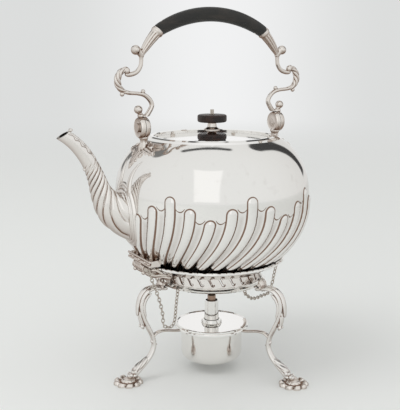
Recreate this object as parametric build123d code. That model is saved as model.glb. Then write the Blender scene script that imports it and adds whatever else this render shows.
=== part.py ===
"""Tea kettle on a pierced ring stand with three scroll legs and a spirit burner.

Millimetres. +Z is up, the spout points along -X, and the swing handle lies in the XZ plane. Everything is drawn
around the kettle's own upright axis and moved at the end, so that the origin is on the table under the middle of
the whole, from spout to handle. Heights stack up from the table, so raising one part raises all above it.
"""
from build123d import *
from math import atan2, cos, degrees, pi, radians, sin, sqrt
import os

# Legs and feet
leg_angles = (180.0, 300.0, 60.0)
leg_names = ("spout_side", "rear_right", "rear_left")
foot_reach = 94.0
foot_radius = 14.6
foot_edge_height = 1.4
foot_height = 5.4
foot_lobes = 9

# Stand: base ring, pierced gallery and dished flange
base_ring_bottom_z = 94.0
base_ring_height = 4.0
base_ring_radius = 54.5
base_ring_inner = 44.5
gallery_height = 10.8
gallery_wall = 1.6
slot_count = 30
slot_height = 7.0
slot_width = 2.4
slot_lean = 28.0
seat_inner_radius = 48.2
seat_outer_radius = 55.5
flange_wall = 1.6
flange_rise = 9.2
flange_gap = 3.37
flange_lip = 1.4

# Kettle body
base_rim_height = 1.2
base_radius = 56.8
belly_height = 62.4
belly_radius = 97.0
neck_rise = 64.6
shoulder_radius = 67.7
upper_power = 2.6
body_wall = 1.2
seam_angle = 115.0
strainer_hole_radius = 2.2
strainer_pitch = 7.0

# Mouth, collar and lid
collar_rise = 2.6
rim_radius = 60.5
rim_width = 2.6
collar_wall = 1.4
seat_radius = 54.6
seat_drop = 4.8
lid_gap = 0.3
lid_thickness = 1.2
lid_dish = 1.4
bezel_depth = 8.0
bezel_wall = 1.0

# Finial
disc_radius = 14.4
lower_disc_height = 6.2
upper_disc_height = 7.4
disc_edge = 1.7
stem_height = 11.3
stem_radius = 4.2
stem_bead_radius = 8.0
bolt_radius = 1.8
bolt_tip = 5.0
bolt_gap = 0.15
nut_height = 2.6
nut_radius = 4.5

# Spout
spout_reach = 62.5
spout_rise = 74.6
spout_root_drop = 4.0
spout_root_height = 29.0
spout_root_width = 21.0
spout_wall = 1.3
mouth_length = 14.1
mouth_rise = 8.0
spout_flare_height = 3.0
spout_flare_depth = 2.2

# Swing handle
pivot_span = 75.0
pivot_rise = 10.3
drum_radius = 10.2
drum_half = 4.9
drum_gap = 0.25
pivot_pin_radius = 2.4
pivot_clearance = 0.06
pin_head_radius = 4.4
pin_head_height = 1.4
grip_rise = 112.3
grip_arc_radius = 112.0
grip_height = 13.8
grip_width = 12.6
grip_end_taper = 2.4
grip_half_angle = 30.8
tang_radius = 3.4
tang_length = 14.0
rivet_radius = 1.1

# Posts that carry the handle
post_foot_radius = 6.4
post_neck_radius = 4.2
leaf_thickness = 2.0
outer_leaf_reach = 13.0
outer_leaf_width = 12.0
side_leaf_reach = 23.0
side_leaf_width = 7.5
side_leaf_lean = 16.0
inner_leaf_reach = 8.0

# Hinge under the spout, lock at the rear, and the pins
hinge_overhang = 5.6
hinge_drop = 2.0
knuckle_radius = 3.6
kettle_knuckle_half = 6.5
stand_knuckle_length = 5.5
knuckle_gap = 0.3
hinge_bar_half = 25.0
hinge_bar_height = 6.0
hinge_bar_nose = 2.2
hinge_pin_radius = 1.7
pin_clearance = 0.06
pin_head_ball = 2.9
pin_ring_radius = 2.1
pin_ring_wire = 0.6
lug_inset = 2.0
lug_drop = 13.6
lug_radius = 3.0
lug_half = 3.0
ear_length = 3.2
notch_gap = 0.6

# Burner
burner_ring_radius = 37.6
burner_ring_z = 43.6
burner_ring_height = 3.0
reservoir_radius = 31.3
reservoir_bottom_z = 10.4
reservoir_wall = 1.0
reservoir_corner = 9.0
burner_fit = 0.5
plate_radius = 36.6
plate_thickness = 1.4
neck_bore_radius = 5.2
collar_radius = 10.5
collar_height = 3.6
collar_floor = 1.2
sleeve_radius = 7.3
sleeve_height = 22.4
sleeve_wall = 0.9
sleeve_gap = 0.9
wick_tube_radius = 4.2
wick_tube_rise = 5.2
wick_tube_depth = 46.0
wick_radius = 3.3
wick_rise = 1.4
wick_tail = 6.0

# Chains
link_length = 5.6
link_width = 3.7
wire_radius = 0.45
link_pitch = 3.68
link_play = 0.06
eyelet_radius = 1.9
eyelet_wire = 0.5
eyelet_inset = 3.4
front_eye_angle = 200.6
rear_eye_angle = 280.0

# Heights and places that follow from the sizes above
gallery_bottom_z = base_ring_bottom_z + base_ring_height
gallery_top_z = gallery_bottom_z + gallery_height
gallery_radius = seat_inner_radius + gallery_wall
stand_seat_z = gallery_top_z + flange_wall
flange_z = stand_seat_z + flange_rise
body_bottom_z = stand_seat_z + base_rim_height
belly_z = body_bottom_z + belly_height
body_top_z = belly_z + neck_rise
rim_z = body_top_z + collar_rise
seat_z = rim_z - seat_drop
pivot_z = rim_z + pivot_rise
grip_top_z = pivot_z + grip_rise
spout_root_z = belly_z - spout_root_drop

lower_depth = belly_height / sqrt(1 - (base_radius / belly_radius) ** 2)
upper_height = neck_rise / (1 - (shoulder_radius / belly_radius) ** 2) ** (1 / upper_power)


def belly_at(z):
    """Radius of the kettle's outside at a height."""
    if z <= belly_z:
        return belly_radius * sqrt(1 - ((belly_z - z) / lower_depth) ** 2)
    return belly_radius * sqrt(1 - ((z - belly_z) / upper_height) ** upper_power)


def shoulder_at(radius):
    """Height of the upper body's outside at a radius."""
    return belly_z + upper_height * (1 - (radius / belly_radius) ** 2) ** (1 / upper_power)


# Reach of the flange under the belly, and of the hinge and the lock that hang on it
flange_radius = belly_at(flange_z) + flange_gap
hinge_reach = flange_radius + flange_lip + hinge_overhang
hinge_z = flange_z - hinge_drop
lug_reach = flange_radius - lug_inset
lug_z = flange_z - lug_drop
plate_z = burner_ring_z + burner_ring_height
plate_top_z = plate_z + plate_thickness

os.makedirs("parts", exist_ok=True)
nodes = {}


def lathe(points):
    """A ring or a solid turned about the upright axis from (radius, height) points."""
    return revolve(Plane.XZ * make_face(Polyline(*points, close=True)), Axis.Z)


def cylinder_up(radius, bottom, top, x=0.0, y=0.0):
    """An upright cylinder between two heights."""
    return Pos(x, y, (bottom + top) / 2) * Cylinder(radius, top - bottom)


def cylinder_along(axis, radius, start, end, centre):
    """A cylinder along X or Y between two places on that axis; centre holds the other two coordinates."""
    middle = (start + end) / 2
    cylinder = Cylinder(radius, abs(end - start))
    if axis == "X":
        return Pos(middle, centre[0], centre[1]) * Rot(0, 90, 0) * cylinder
    return Pos(centre[0], middle, centre[1]) * Rot(90, 0, 0) * cylinder


def plate_xz(points, start, end):
    """A flat plate with its outline in the XZ plane, between two places along Y."""
    flat = Plane.XZ * make_face(Polyline(*points, close=True))
    return Pos(0, (start + end) / 2, 0) * extrude(flat, abs(end - start) / 2, both=True)


def rod(stations):
    """A tapering rod in the XZ plane. Each station is x, z, half thickness in the plane, half width across it."""
    path = Spline(*[(x, 0, z) for x, z, _, _ in stations])
    sections = []
    for x, z, thick, wide in stations:
        tangent = path.tangent_at(path.param_at_point(Vector(x, 0, z)))
        plane = Plane(origin=(x, 0, z), x_dir=(0, 1, 0), z_dir=tangent)
        sections.append((plane * Ellipse(wide, thick)).face())
    return loft(Sketch() + sections)


def turn(shape, angle):
    """The shape turned about the upright axis."""
    return Rot(0, 0, angle) * shape


def largest(shape):
    """The largest solid of a shape, without the crumbs a cut leaves."""
    return shape.solids().sort_by(SortBy.VOLUME)[-1]


# Kettle body

def belly_solid(inset):
    """The space inside the kettle's wall, moved in from the outside by the inset and closed by flat ends."""
    low = body_bottom_z + inset
    points = []
    for i in range(17):
        z = low + (body_top_z - low) * i / 16
        slope = (belly_at(min(z + 0.1, body_top_z)) - belly_at(z - 0.1)) / 0.2
        points.append((belly_at(z) - inset * sqrt(1 + slope * slope), z))
    edges = Curve() + [
        Line((0, points[0][1]), points[0]),
        Spline(*points),
        Line(points[-1], (0, points[-1][1])),
        Line((0, points[-1][1]), (0, points[0][1])),
    ]
    return turn(revolve(Plane.XZ * make_face(edges), Axis.Z), seam_angle)


kettle_outside = belly_solid(0.0)
mouth_cut = cylinder_up(shoulder_radius - body_wall * 3, body_top_z - 4, body_top_z + 4)
kettle_shell = kettle_outside - belly_solid(body_wall) - mouth_cut


# Spout, drawn as shares of its reach and rise with the tube's climb and its half height and half width

spout_line = [
    (-0.208, 0.0, 0.0, spout_root_height, spout_root_width),
    (0.032, 0.040, 14.0, 21.5, 17.0),
    (0.216, 0.141, 42.0, 15.2, 13.2),
    (0.336, 0.322, 66.0, 10.4, 10.2),
    (0.413, 0.516, 68.0, 8.3, 8.3),
    (0.500, 0.690, 60.0, 7.4, 7.4),
    (0.608, 0.831, 53.0, 7.0, 7.0),
    (0.728, 0.945, 44.0, 6.6, 6.4),
    (0.864, 1.032, 33.0, 6.0, 5.4),
    (1.016, 1.099, 24.0, 5.2, 4.2),
]


def spout_loft(inset):
    """The spout's tube, from inside the kettle to past its mouth."""
    sections = []
    for out, up, climb, high, wide in spout_line:
        centre = (-belly_radius - out * spout_reach, 0, spout_root_z + up * spout_rise)
        along = Vector(-cos(radians(climb)), 0, sin(radians(climb)))
        plane = Plane(origin=centre, x_dir=(0, 1, 0), z_dir=along)
        sections.append((plane * Ellipse(wide - inset, high - inset)).face())
    return loft(Sketch() + sections)


beak = (-belly_radius - spout_reach, spout_root_z + spout_rise)
mouth_heel = (beak[0] + mouth_length, beak[1] + mouth_rise)
mouth_trim = plate_xz([
    beak,
    mouth_heel,
    (mouth_heel[0] + mouth_length, mouth_heel[1] + 22),
    (beak[0] - 30, mouth_heel[1] + 22),
    (beak[0] - 30, beak[1] - 40),
], -40.0, 40.0)
spout_outer = spout_loft(0.0) - mouth_trim
spout_inner = spout_loft(spout_wall)
nodes["kettle_spout"] = spout_outer - spout_inner - kettle_outside

root_centre = Pos(-belly_radius, 0, spout_root_z)
flare_ellipse = Ellipse(spout_root_height + spout_flare_height, spout_root_width + spout_flare_height)
flare_outline = root_centre * Rot(0, -90, 0) * extrude(flare_ellipse, 30, both=True)
flare_skin = belly_solid(-spout_flare_depth) - kettle_outside
nodes["spout_flare"] = (flare_skin & flare_outline) - spout_outer - spout_inner

strainer_holes = []
for row in range(-3, 4):
    for column in range(-2, 3):
        y = (column + 0.5 * (row % 2)) * strainer_pitch
        z = row * strainer_pitch * sqrt(3) / 2
        if (y / (spout_root_width - 6)) ** 2 + (z / (spout_root_height - 6)) ** 2 < 1:
            place = (y, spout_root_z + z)
            strainer_holes.append(cylinder_along("X", strainer_hole_radius, -belly_radius - 10, -60.0, place))
kettle_body = largest(kettle_shell - strainer_holes)
nodes["kettle_body"] = kettle_body


# Collar, base rim and lid

collar_inner = rim_radius - rim_width
collar = lathe([
    (shoulder_radius, body_top_z),
    (rim_radius + 1.4, rim_z - 1.2),
    (rim_radius, rim_z),
    (collar_inner, rim_z),
    (collar_inner - 0.5, rim_z - 0.8),
    (collar_inner - 0.5, seat_z),
    (seat_radius, seat_z),
    (seat_radius, seat_z - collar_wall),
    (collar_inner + collar_wall, seat_z - collar_wall),
    (collar_inner + collar_wall, body_top_z),
])
nodes["kettle_collar"] = collar - kettle_body

base_rim = lathe([
    (seat_inner_radius + 2.0, stand_seat_z),
    (seat_outer_radius - 0.6, stand_seat_z),
    (seat_outer_radius + 0.6, body_bottom_z + 1.5),
    (seat_inner_radius + 1.0, body_bottom_z + 1.5),
])
nodes["kettle_base_rim"] = base_rim - kettle_outside

lid_radius = collar_inner - 0.5 - lid_gap
lid_edge_z = seat_z + lid_thickness
lid_centre_z = lid_edge_z - lid_dish
lid_flat_radius = disc_radius + 1.0
bezel_radius = seat_radius - lid_gap
lower_disc_top = lid_centre_z + lower_disc_height
stem_top = lower_disc_top + stem_height
upper_disc_top = stem_top + upper_disc_height
bolt_top = upper_disc_top + bolt_tip
bolt_hole = cylinder_up(bolt_radius + bolt_gap, lid_centre_z - 20, bolt_top + 20)
lid_plate = lathe([
    (0, lid_centre_z),
    (lid_flat_radius, lid_centre_z),
    (lid_radius, lid_edge_z),
    (lid_radius, seat_z),
    (bezel_radius, seat_z),
    (lid_flat_radius, lid_centre_z - lid_thickness),
    (0, lid_centre_z - lid_thickness),
])
nodes["lid_plate"] = lid_plate - bolt_hole
bezel = lathe([
    (bezel_radius, seat_z + 0.4),
    (bezel_radius, seat_z - bezel_depth),
    (bezel_radius - bezel_wall, seat_z - bezel_depth),
    (bezel_radius - bezel_wall, seat_z + 0.4),
])
nodes["lid_bezel"] = bezel - lid_plate


# Finial: two wooden discs on a silver stem, drawn down by one bolt

def wooden_disc(bottom, top):
    """A turned wooden disc with eased edges."""
    return lathe([
        (0, bottom),
        (disc_radius - disc_edge, bottom),
        (disc_radius - disc_edge * 0.3, bottom + disc_edge * 0.3),
        (disc_radius, bottom + disc_edge),
        (disc_radius, top - disc_edge),
        (disc_radius - disc_edge * 0.3, top - disc_edge * 0.3),
        (disc_radius - disc_edge, top),
        (0, top),
    ]) - bolt_hole


nodes["finial_lower_disc"] = wooden_disc(lid_centre_z, lower_disc_top)
nodes["finial_upper_disc"] = wooden_disc(stem_top, upper_disc_top)
stem_middle = lower_disc_top + stem_height * 0.32
stem = lathe([
    (0, lower_disc_top),
    (stem_radius + 1.2, lower_disc_top),
    (stem_radius, lower_disc_top + 1.0),
    (stem_bead_radius, stem_middle - 0.9),
    (stem_bead_radius, stem_middle + 0.9),
    (stem_radius + 0.4, stem_middle + 3.0),
    (stem_radius, stem_top - 1.2),
    (stem_radius + 1.0, stem_top),
    (0, stem_top),
])
nodes["finial_stem"] = stem - bolt_hole
nut_bottom = lid_centre_z - lid_thickness - nut_height
bolt = cylinder_up(bolt_radius, nut_bottom - 1.4, bolt_top)
nodes["finial_bolt"] = bolt + cylinder_up(bolt_radius + 0.9, upper_disc_top, upper_disc_top + 0.9)
nut = Pos(0, 0, nut_bottom + nut_height / 2) * extrude(RegularPolygon(nut_radius, 6), nut_height / 2, both=True)
nodes["finial_nut"] = nut - cylinder_up(bolt_radius, nut_bottom - 2, nut_bottom + nut_height + 2)


# Handle posts on the kettle's shoulder, one on the spout side and one at the rear

shoulder_skin = belly_solid(-leaf_thickness) - kettle_outside


def leaf_blade(reach, width, angle):
    """One pointed leaf on the table plane, from the origin outwards."""
    edges = Curve() + [
        ThreePointArc((0, 0), (reach * 0.55, width / 2), (reach, 0)),
        ThreePointArc((reach, 0), (reach * 0.55, -width / 2), (0, 0)),
    ]
    return Rot(0, 0, angle) * make_face(edges)


def leaf_outline(side):
    """The four leaves under a post: down the shoulder, both ways along the collar, and in under the rim."""
    outward = 0.0 if side > 0 else 180.0
    lean = 90.0 + side_leaf_lean
    return Circle(post_foot_radius) + [
        leaf_blade(outer_leaf_reach, outer_leaf_width, outward),
        leaf_blade(side_leaf_reach, side_leaf_width, outward + lean),
        leaf_blade(side_leaf_reach, side_leaf_width, outward - lean),
        leaf_blade(inner_leaf_reach, side_leaf_width, outward + 180.0),
    ]


def post(side):
    """A cast post: leaves on the shoulder, a short neck and the inner half of the drum."""
    x = side * pivot_span
    foot_z = shoulder_at(pivot_span)
    neck_top = pivot_z - drum_radius + 3.0
    leaves = shoulder_skin & extrude(Pos(x, 0, belly_z) * leaf_outline(side), neck_rise + pivot_rise)
    neck = Pos(x, 0, 0) * lathe([
        (0, foot_z - 6.0),
        (post_foot_radius, foot_z - 6.0),
        (post_foot_radius - 1.0, foot_z + 3.0),
        (post_neck_radius, neck_top - 4.0),
        (post_neck_radius, neck_top),
        (0, neck_top),
    ])
    face = x - side * drum_gap / 2
    drum = cylinder_along("X", drum_radius, face, x - side * drum_half, (0, pivot_z))
    room = cylinder_along("X", drum_radius + 0.5, face, face + side * 12, (0, pivot_z))
    return (leaves + (neck - kettle_outside) - room - collar) + drum


for name, side in (("spout_side", -1), ("rear", 1)):
    x = side * pivot_span
    face = x + side * drum_half
    pin = cylinder_along("X", pivot_pin_radius, x - side * drum_half, face, (0, pivot_z))
    pin_head = cylinder_along("X", pin_head_radius, face, face + side * pin_head_height, (0, pivot_z))
    nodes["handle_post_" + name] = post(side) - pin
    nodes["handle_pivot_" + name] = pin + pin_head


# Swing handle: two scroll arms and a wooden grip on their tangs.
# Each arm station is its bulge outside the straight line from drum to grip, its share of the rise between
# them, then half thickness and half width.

grip_centre_z = grip_top_z - grip_height / 2 - grip_arc_radius
grip_end_x = grip_arc_radius * sin(radians(grip_half_angle))
grip_end_z = grip_centre_z + grip_arc_radius * cos(radians(grip_half_angle))
lower_scroll = [
    (-1.7, 0.117, 2.4, 2.6),
    (-4.7, 0.176, 2.3, 2.5),
    (-5.9, 0.233, 2.2, 2.4),
    (-2.5, 0.291, 2.2, 2.3),
    (3.6, 0.338, 2.0, 2.2),
    (10.9, 0.356, 1.7, 2.2),
    (19.6, 0.365, 1.8, 2.2),
    (26.8, 0.392, 2.2, 2.4),
    (31.4, 0.443, 2.7, 2.6),
    (33.2, 0.510, 2.8, 2.6),
    (31.5, 0.575, 2.5, 2.4),
    (26.3, 0.606, 2.0, 2.0),
]
upper_scroll = [
    (26.8, 0.552, 1.8, 2.0),
    (21.0, 0.552, 2.0, 2.2),
    (15.2, 0.577, 2.1, 2.3),
    (12.4, 0.633, 2.1, 2.3),
    (12.5, 0.693, 2.0, 2.2),
    (13.1, 0.749, 2.4, 2.6),
    (10.4, 0.823, 3.8, 4.0),
    (5.7, 0.914, 4.9, 5.0),
    (0.3, 0.985, 5.6, 5.8),
]
arm_knobs = [
    (19.8, 0.805, 4.4),
    (25.4, 0.588, 2.9),
    (5.5, 0.374, 1.9),
    (26.2, 0.356, 2.0),
    (7.3, 0.189, 3.9),
]


def arm_place(side, bulge, share):
    """The x and z of a point on a handle arm."""
    x = pivot_span + bulge + share * (grip_end_x - pivot_span)
    return side * x, pivot_z + share * (grip_end_z - pivot_z)


def grip_station(angle):
    """A cross section of the grip at an angle from its top, along its arc."""
    a = radians(angle)
    centre = (grip_arc_radius * sin(a), 0, grip_centre_z + grip_arc_radius * cos(a))
    plane = Plane(origin=centre, x_dir=(0, 1, 0), z_dir=(cos(a), 0, -sin(a)))
    taper = grip_end_taper * abs(angle / grip_half_angle) ** 3
    return (plane * Ellipse((grip_width - taper) / 2, (grip_height - taper) / 2)).face()


def grip_frame(side):
    """The plane across one end of the grip, facing out of the wood."""
    a = radians(grip_half_angle)
    return Plane(origin=(side * grip_end_x, 0, grip_end_z), x_dir=(0, 1, 0), z_dir=(side * cos(a), 0, -sin(a)))


def handle_arm(side):
    """One scroll arm: the outer half of the drum, an S scroll, a second scroll and the socket under the grip."""
    arm = rod([(*arm_place(side, bulge, share), thick, wide) for bulge, share, thick, wide in lower_scroll])
    arm += rod([(*arm_place(side, bulge, share), thick, wide) for bulge, share, thick, wide in upper_scroll])
    for bulge, share, radius in arm_knobs:
        knob_x, knob_z = arm_place(side, bulge, share)
        arm += Pos(knob_x, 0, knob_z) * Sphere(radius)
    x = side * pivot_span
    face = x + side * drum_gap / 2
    drum = cylinder_along("X", drum_radius, face, x + side * drum_half, (0, pivot_z))
    drum_top = Pos(x + side * (drum_half / 2 - 1.0), 0, pivot_z + drum_radius + 0.8) * Box(drum_half * 1.7, 5.0, 6.6)
    room = cylinder_along("X", drum_radius + 0.5, face, face - side * 12, (0, pivot_z))
    bore = cylinder_along("X", pivot_pin_radius + pivot_clearance, x - 12, x + 12, (0, pivot_z))
    tang = grip_frame(side) * Pos(0, 0, -tang_length / 2 + 1.0) * Cylinder(tang_radius, tang_length + 2.0)
    return arm + (drum + drum_top) - room - bore - grip_solid + tang


grip_solid = loft(Sketch() + [grip_station(grip_half_angle * k / 4) for k in range(-4, 5)])
grip = grip_solid
rivets = []
for name, side in (("spout_side", -1), ("rear", 1)):
    arm = handle_arm(side)
    rivet = grip_frame(side) * Pos(0, 0, -tang_length / 2) * Rot(90, 0, 0) * Cylinder(rivet_radius, grip_width + 2)
    rivets.append(rivet & grip_solid)
    nodes["handle_arm_" + name] = arm - rivet
    grip = grip - arm - rivet
nodes["handle_grip"] = grip
nodes["grip_rivets"] = Compound(children=rivets)


# Ring stand: moulded base ring, pierced gallery and dished flange with a notch for the kettle's lug

flange_rim = flange_radius + flange_lip
flange_ring = lathe([
    (seat_inner_radius, stand_seat_z),
    (seat_outer_radius, stand_seat_z),
    (flange_radius - 1.0, flange_z - 0.7),
    (flange_radius, flange_z),
    (flange_rim - 0.2, flange_z - 0.4),
    (flange_rim, flange_z - 1.6),
    (flange_radius + 0.4, flange_z - 2.6),
    (flange_radius - 1.0, flange_z - 0.7 - flange_wall * 1.3),
    (seat_outer_radius + 0.6, gallery_top_z),
    (seat_inner_radius, gallery_top_z),
])
notch_inner = lug_reach - lug_radius - notch_gap * 2
notch = Pos(notch_inner + 20, 0, flange_z) * Box(40, 2 * (lug_half + notch_gap), 40)
nodes["stand_flange"] = flange_ring - notch
dish_space = lathe([
    (0, stand_seat_z),
    (seat_outer_radius, stand_seat_z),
    (flange_radius, flange_z - 0.2),
    (flange_radius + 1.6, flange_z + 4.0),
    (flange_radius + 1.6, flange_z + 30.0),
    (0, flange_z + 30.0),
])
gallery = lathe([
    (seat_inner_radius, gallery_bottom_z),
    (gallery_radius, gallery_bottom_z),
    (gallery_radius, gallery_top_z),
    (seat_inner_radius, gallery_top_z),
])
slot_z = (gallery_bottom_z + gallery_top_z) / 2
slot_outline = SlotOverall(slot_height, slot_width, rotation=90 - slot_lean)
slot_cut = Pos(0, 0, slot_z) * Rot(0, 90, 0) * Rot(0, 0, 90) * extrude(slot_outline, gallery_radius + 4)
nodes["pierced_gallery"] = gallery - [turn(slot_cut, 360 * k / slot_count) for k in range(slot_count)]
base_ring = lathe([
    (base_ring_inner + 1.5, base_ring_bottom_z),
    (base_ring_radius - 1.5, base_ring_bottom_z),
    (base_ring_radius, base_ring_bottom_z + 1.2),
    (base_ring_radius - 1.2, base_ring_bottom_z + 2.2),
    (gallery_radius + 1.6, gallery_bottom_z - 0.6),
    (gallery_radius + 1.0, gallery_bottom_z),
    (base_ring_inner + 1.0, gallery_bottom_z),
    (base_ring_inner, base_ring_bottom_z + 1.5),
])
nodes["base_ring"] = base_ring
gallery_core = cylinder_up(gallery_radius, gallery_bottom_z - 1, gallery_top_z + 15)


# Hinge under the spout: a knuckle and a bar on the kettle, two knuckles on brackets of the stand

hinge_bore = cylinder_along("Y", hinge_pin_radius + pin_clearance, -60, 60, (-hinge_reach, hinge_z))
hinge_centre = (-hinge_reach, hinge_z)
kettle_knuckle = cylinder_along("Y", knuckle_radius, -kettle_knuckle_half, kettle_knuckle_half, hinge_centre)
bar_foot_z = hinge_z + knuckle_radius + knuckle_gap
bar_top_z = bar_foot_z + hinge_bar_height
bar_front = -hinge_reach - hinge_bar_nose
hinge_bar = plate_xz([
    (bar_front + 1.4, bar_foot_z),
    (bar_front, bar_foot_z + 1.4),
    (bar_front, bar_top_z - 1.8),
    (bar_front + 1.8, bar_top_z),
    (-hinge_reach + 18.0, bar_top_z),
    (-hinge_reach + 18.0, bar_foot_z),
], -hinge_bar_half, hinge_bar_half)
hinge_web = plate_xz([
    (-hinge_reach - knuckle_radius + 0.2, hinge_z),
    (-hinge_reach - knuckle_radius + 0.2, bar_foot_z + 1.0),
    (-hinge_reach + knuckle_radius, bar_foot_z + 1.0),
    (-hinge_reach + knuckle_radius - 0.3, hinge_z),
], -kettle_knuckle_half, kettle_knuckle_half)
nodes["kettle_hinge"] = (kettle_knuckle + hinge_bar + hinge_web) - hinge_bore - kettle_outside

bracket_outline = [
    (-hinge_reach - knuckle_radius, hinge_z),
    (-hinge_reach - knuckle_radius + 1.5, hinge_z - 4.0),
    (-hinge_reach + 6.0, hinge_z - 11.0),
    (-gallery_radius - 6.0, gallery_bottom_z + 4.0),
    (-gallery_radius + 8.0, gallery_bottom_z + 4.0),
    (-gallery_radius + 8.0, gallery_bottom_z + 8.0),
    (-hinge_reach + 11.0, flange_z),
    (-hinge_reach + knuckle_radius + 0.6, flange_z - 1.0),
    (-hinge_reach + knuckle_radius, hinge_z),
]
brackets = []
for side in (-1, 1):
    near = side * (kettle_knuckle_half + knuckle_gap)
    far = near + side * stand_knuckle_length
    bracket = cylinder_along("Y", knuckle_radius, near, far, hinge_centre) + plate_xz(bracket_outline, near, far)
    brackets.append(largest(bracket - hinge_bore - flange_ring - dish_space - gallery_core))
nodes["stand_hinge_brackets"] = Compound(children=brackets)


# Lock at the rear: a lug on the kettle drops through the flange's notch between two ears, and a pin holds it

lug_bore = cylinder_along("Y", hinge_pin_radius + pin_clearance, -40, 40, (lug_reach, lug_z))
lug = cylinder_along("Y", lug_radius, -lug_half, lug_half, (lug_reach, lug_z)) + plate_xz([
    (lug_reach - lug_radius, lug_z),
    (lug_reach + lug_radius, lug_z),
    (lug_reach + lug_radius, lug_z + 24.0),
    (lug_reach - lug_radius, lug_z + 24.0),
], -lug_half, lug_half)
nodes["kettle_lock_lug"] = lug - lug_bore - kettle_outside
ear_radius = lug_radius + 0.6
ear_outline = [
    (lug_reach + ear_radius, lug_z),
    (lug_reach + ear_radius, flange_z - 1.0),
    (lug_reach - 11.0, flange_z - 3.0),
    (lug_reach - 11.0, lug_z + 4.0),
    (lug_reach - ear_radius, lug_z),
]
ears = []
for side in (-1, 1):
    near = side * (lug_half + knuckle_gap)
    far = near + side * ear_length
    ear = cylinder_along("Y", ear_radius, near, far, (lug_reach, lug_z)) + plate_xz(ear_outline, near, far)
    ears.append(largest(ear - lug_bore - nodes["stand_flange"] - dish_space))
nodes["stand_lock_ears"] = Compound(children=ears)


def chained_pin(x, z, start, end):
    """A pin along Y with a ball head and a small ring for its chain at the near end."""
    shaft = cylinder_along("Y", hinge_pin_radius, start, end, (x, z))
    ball = Pos(x, start, z) * Sphere(pin_head_ball)
    ring = Pos(x, pin_ring_y(start), z) * Rot(0, 90, 0) * Torus(pin_ring_radius, pin_ring_wire)
    return shaft + ball + ring


def pin_ring_y(start):
    """Where the ring of a chained pin stands along Y."""
    return start - pin_head_ball - pin_ring_radius + 0.5


hinge_end = kettle_knuckle_half + knuckle_gap + stand_knuckle_length
lock_end = lug_half + knuckle_gap + ear_length
hinge_head_y = -(hinge_end + knuckle_gap + pin_head_ball - 0.4)
lock_head_y = -(lock_end + knuckle_gap + pin_head_ball - 0.4)
nodes["front_hinge_pin"] = chained_pin(-hinge_reach, hinge_z, hinge_head_y, hinge_end + 1.6)
nodes["rear_lock_pin"] = chained_pin(lug_reach, lug_z, lock_head_y, lock_end + 0.8)


# Legs, shell feet and the ornaments at the leg tops, each made in the XZ plane and turned into place.
# Each leg station is its bulge outside the straight line from foot to base ring, its share of the rise
# between them, then half thickness and half width.

leg_line = [
    (-5.1, 0.972, 2.0, 5.4),
    (1.9, 0.985, 2.3, 5.6),
    (9.5, 1.000, 2.4, 5.6),
    (15.8, 0.983, 2.5, 5.5),
    (19.4, 0.921, 2.6, 5.2),
    (17.8, 0.819, 2.5, 4.8),
    (10.9, 0.702, 2.3, 4.3),
    (1.4, 0.583, 2.3, 3.9),
    (-7.9, 0.472, 2.2, 3.6),
    (-13.7, 0.368, 2.2, 3.5),
    (-14.1, 0.270, 2.3, 3.6),
    (-10.5, 0.185, 2.5, 3.8),
    (-5.5, 0.113, 2.8, 4.2),
    (-1.1, 0.049, 3.0, 4.6),
]
outer_ridge = [
    (12.3, 1.019, 1.0, 2.8),
    (18.3, 1.004, 1.3, 3.2),
    (22.3, 0.940, 1.5, 3.4),
    (21.6, 0.847, 1.4, 3.2),
    (18.8, 0.760, 0.9, 2.4),
]
inner_ridge = [
    (18.9, 0.809, 1.3, 3.0),
    (14.4, 0.713, 1.6, 3.0),
    (7.8, 0.606, 1.5, 2.6),
]
ankle_leaf = [
    (-11.0, 0.238, 1.4, 3.4),
    (-7.0, 0.177, 2.4, 4.6),
    (-2.1, 0.134, 1.4, 3.0),
]


def leg_place(bulge, share):
    """The x and z of a point on a leg."""
    return foot_reach + share * (base_ring_radius - foot_reach) + bulge, share * base_ring_bottom_z


leg = rod([(*leg_place(bulge, share), thick, wide) for bulge, share, thick, wide in leg_line])
for ridge in (outer_ridge, inner_ridge, ankle_leaf):
    leg += rod([(*leg_place(bulge, share), thick, wide) for bulge, share, thick, wide in ridge])

lobe_centre = foot_radius * cos(pi / foot_lobes) * 0.92
lobe_half = lobe_centre * sin(pi / foot_lobes) * 1.05
foot_outline = Circle(lobe_centre) + [
    Rot(0, 0, 360 * k / foot_lobes) * Pos(lobe_centre, 0) * Ellipse(foot_radius - lobe_centre, lobe_half)
    for k in range(foot_lobes)
]
foot_dome = lathe([
    (0, 0),
    (foot_radius, 0),
    (foot_radius, foot_edge_height),
    (foot_radius * 0.66, foot_height - 2.2),
    (foot_radius * 0.34, foot_height - 0.6),
    (0, foot_height),
])
foot = Pos(foot_reach, 0, 0) * (foot_dome & extrude(foot_outline, foot_height + 4))
leg = largest(leg - foot - base_ring - gallery_core)
ornament = scale(Sphere(1.0), (3.0, 7.2, 6.6))
ornament = Pos(base_ring_radius + 3.0, 0, base_ring_bottom_z + 3.6) * Rot(0, -24, 0) * ornament
ornament = largest(ornament - leg - base_ring - gallery_core)

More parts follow.
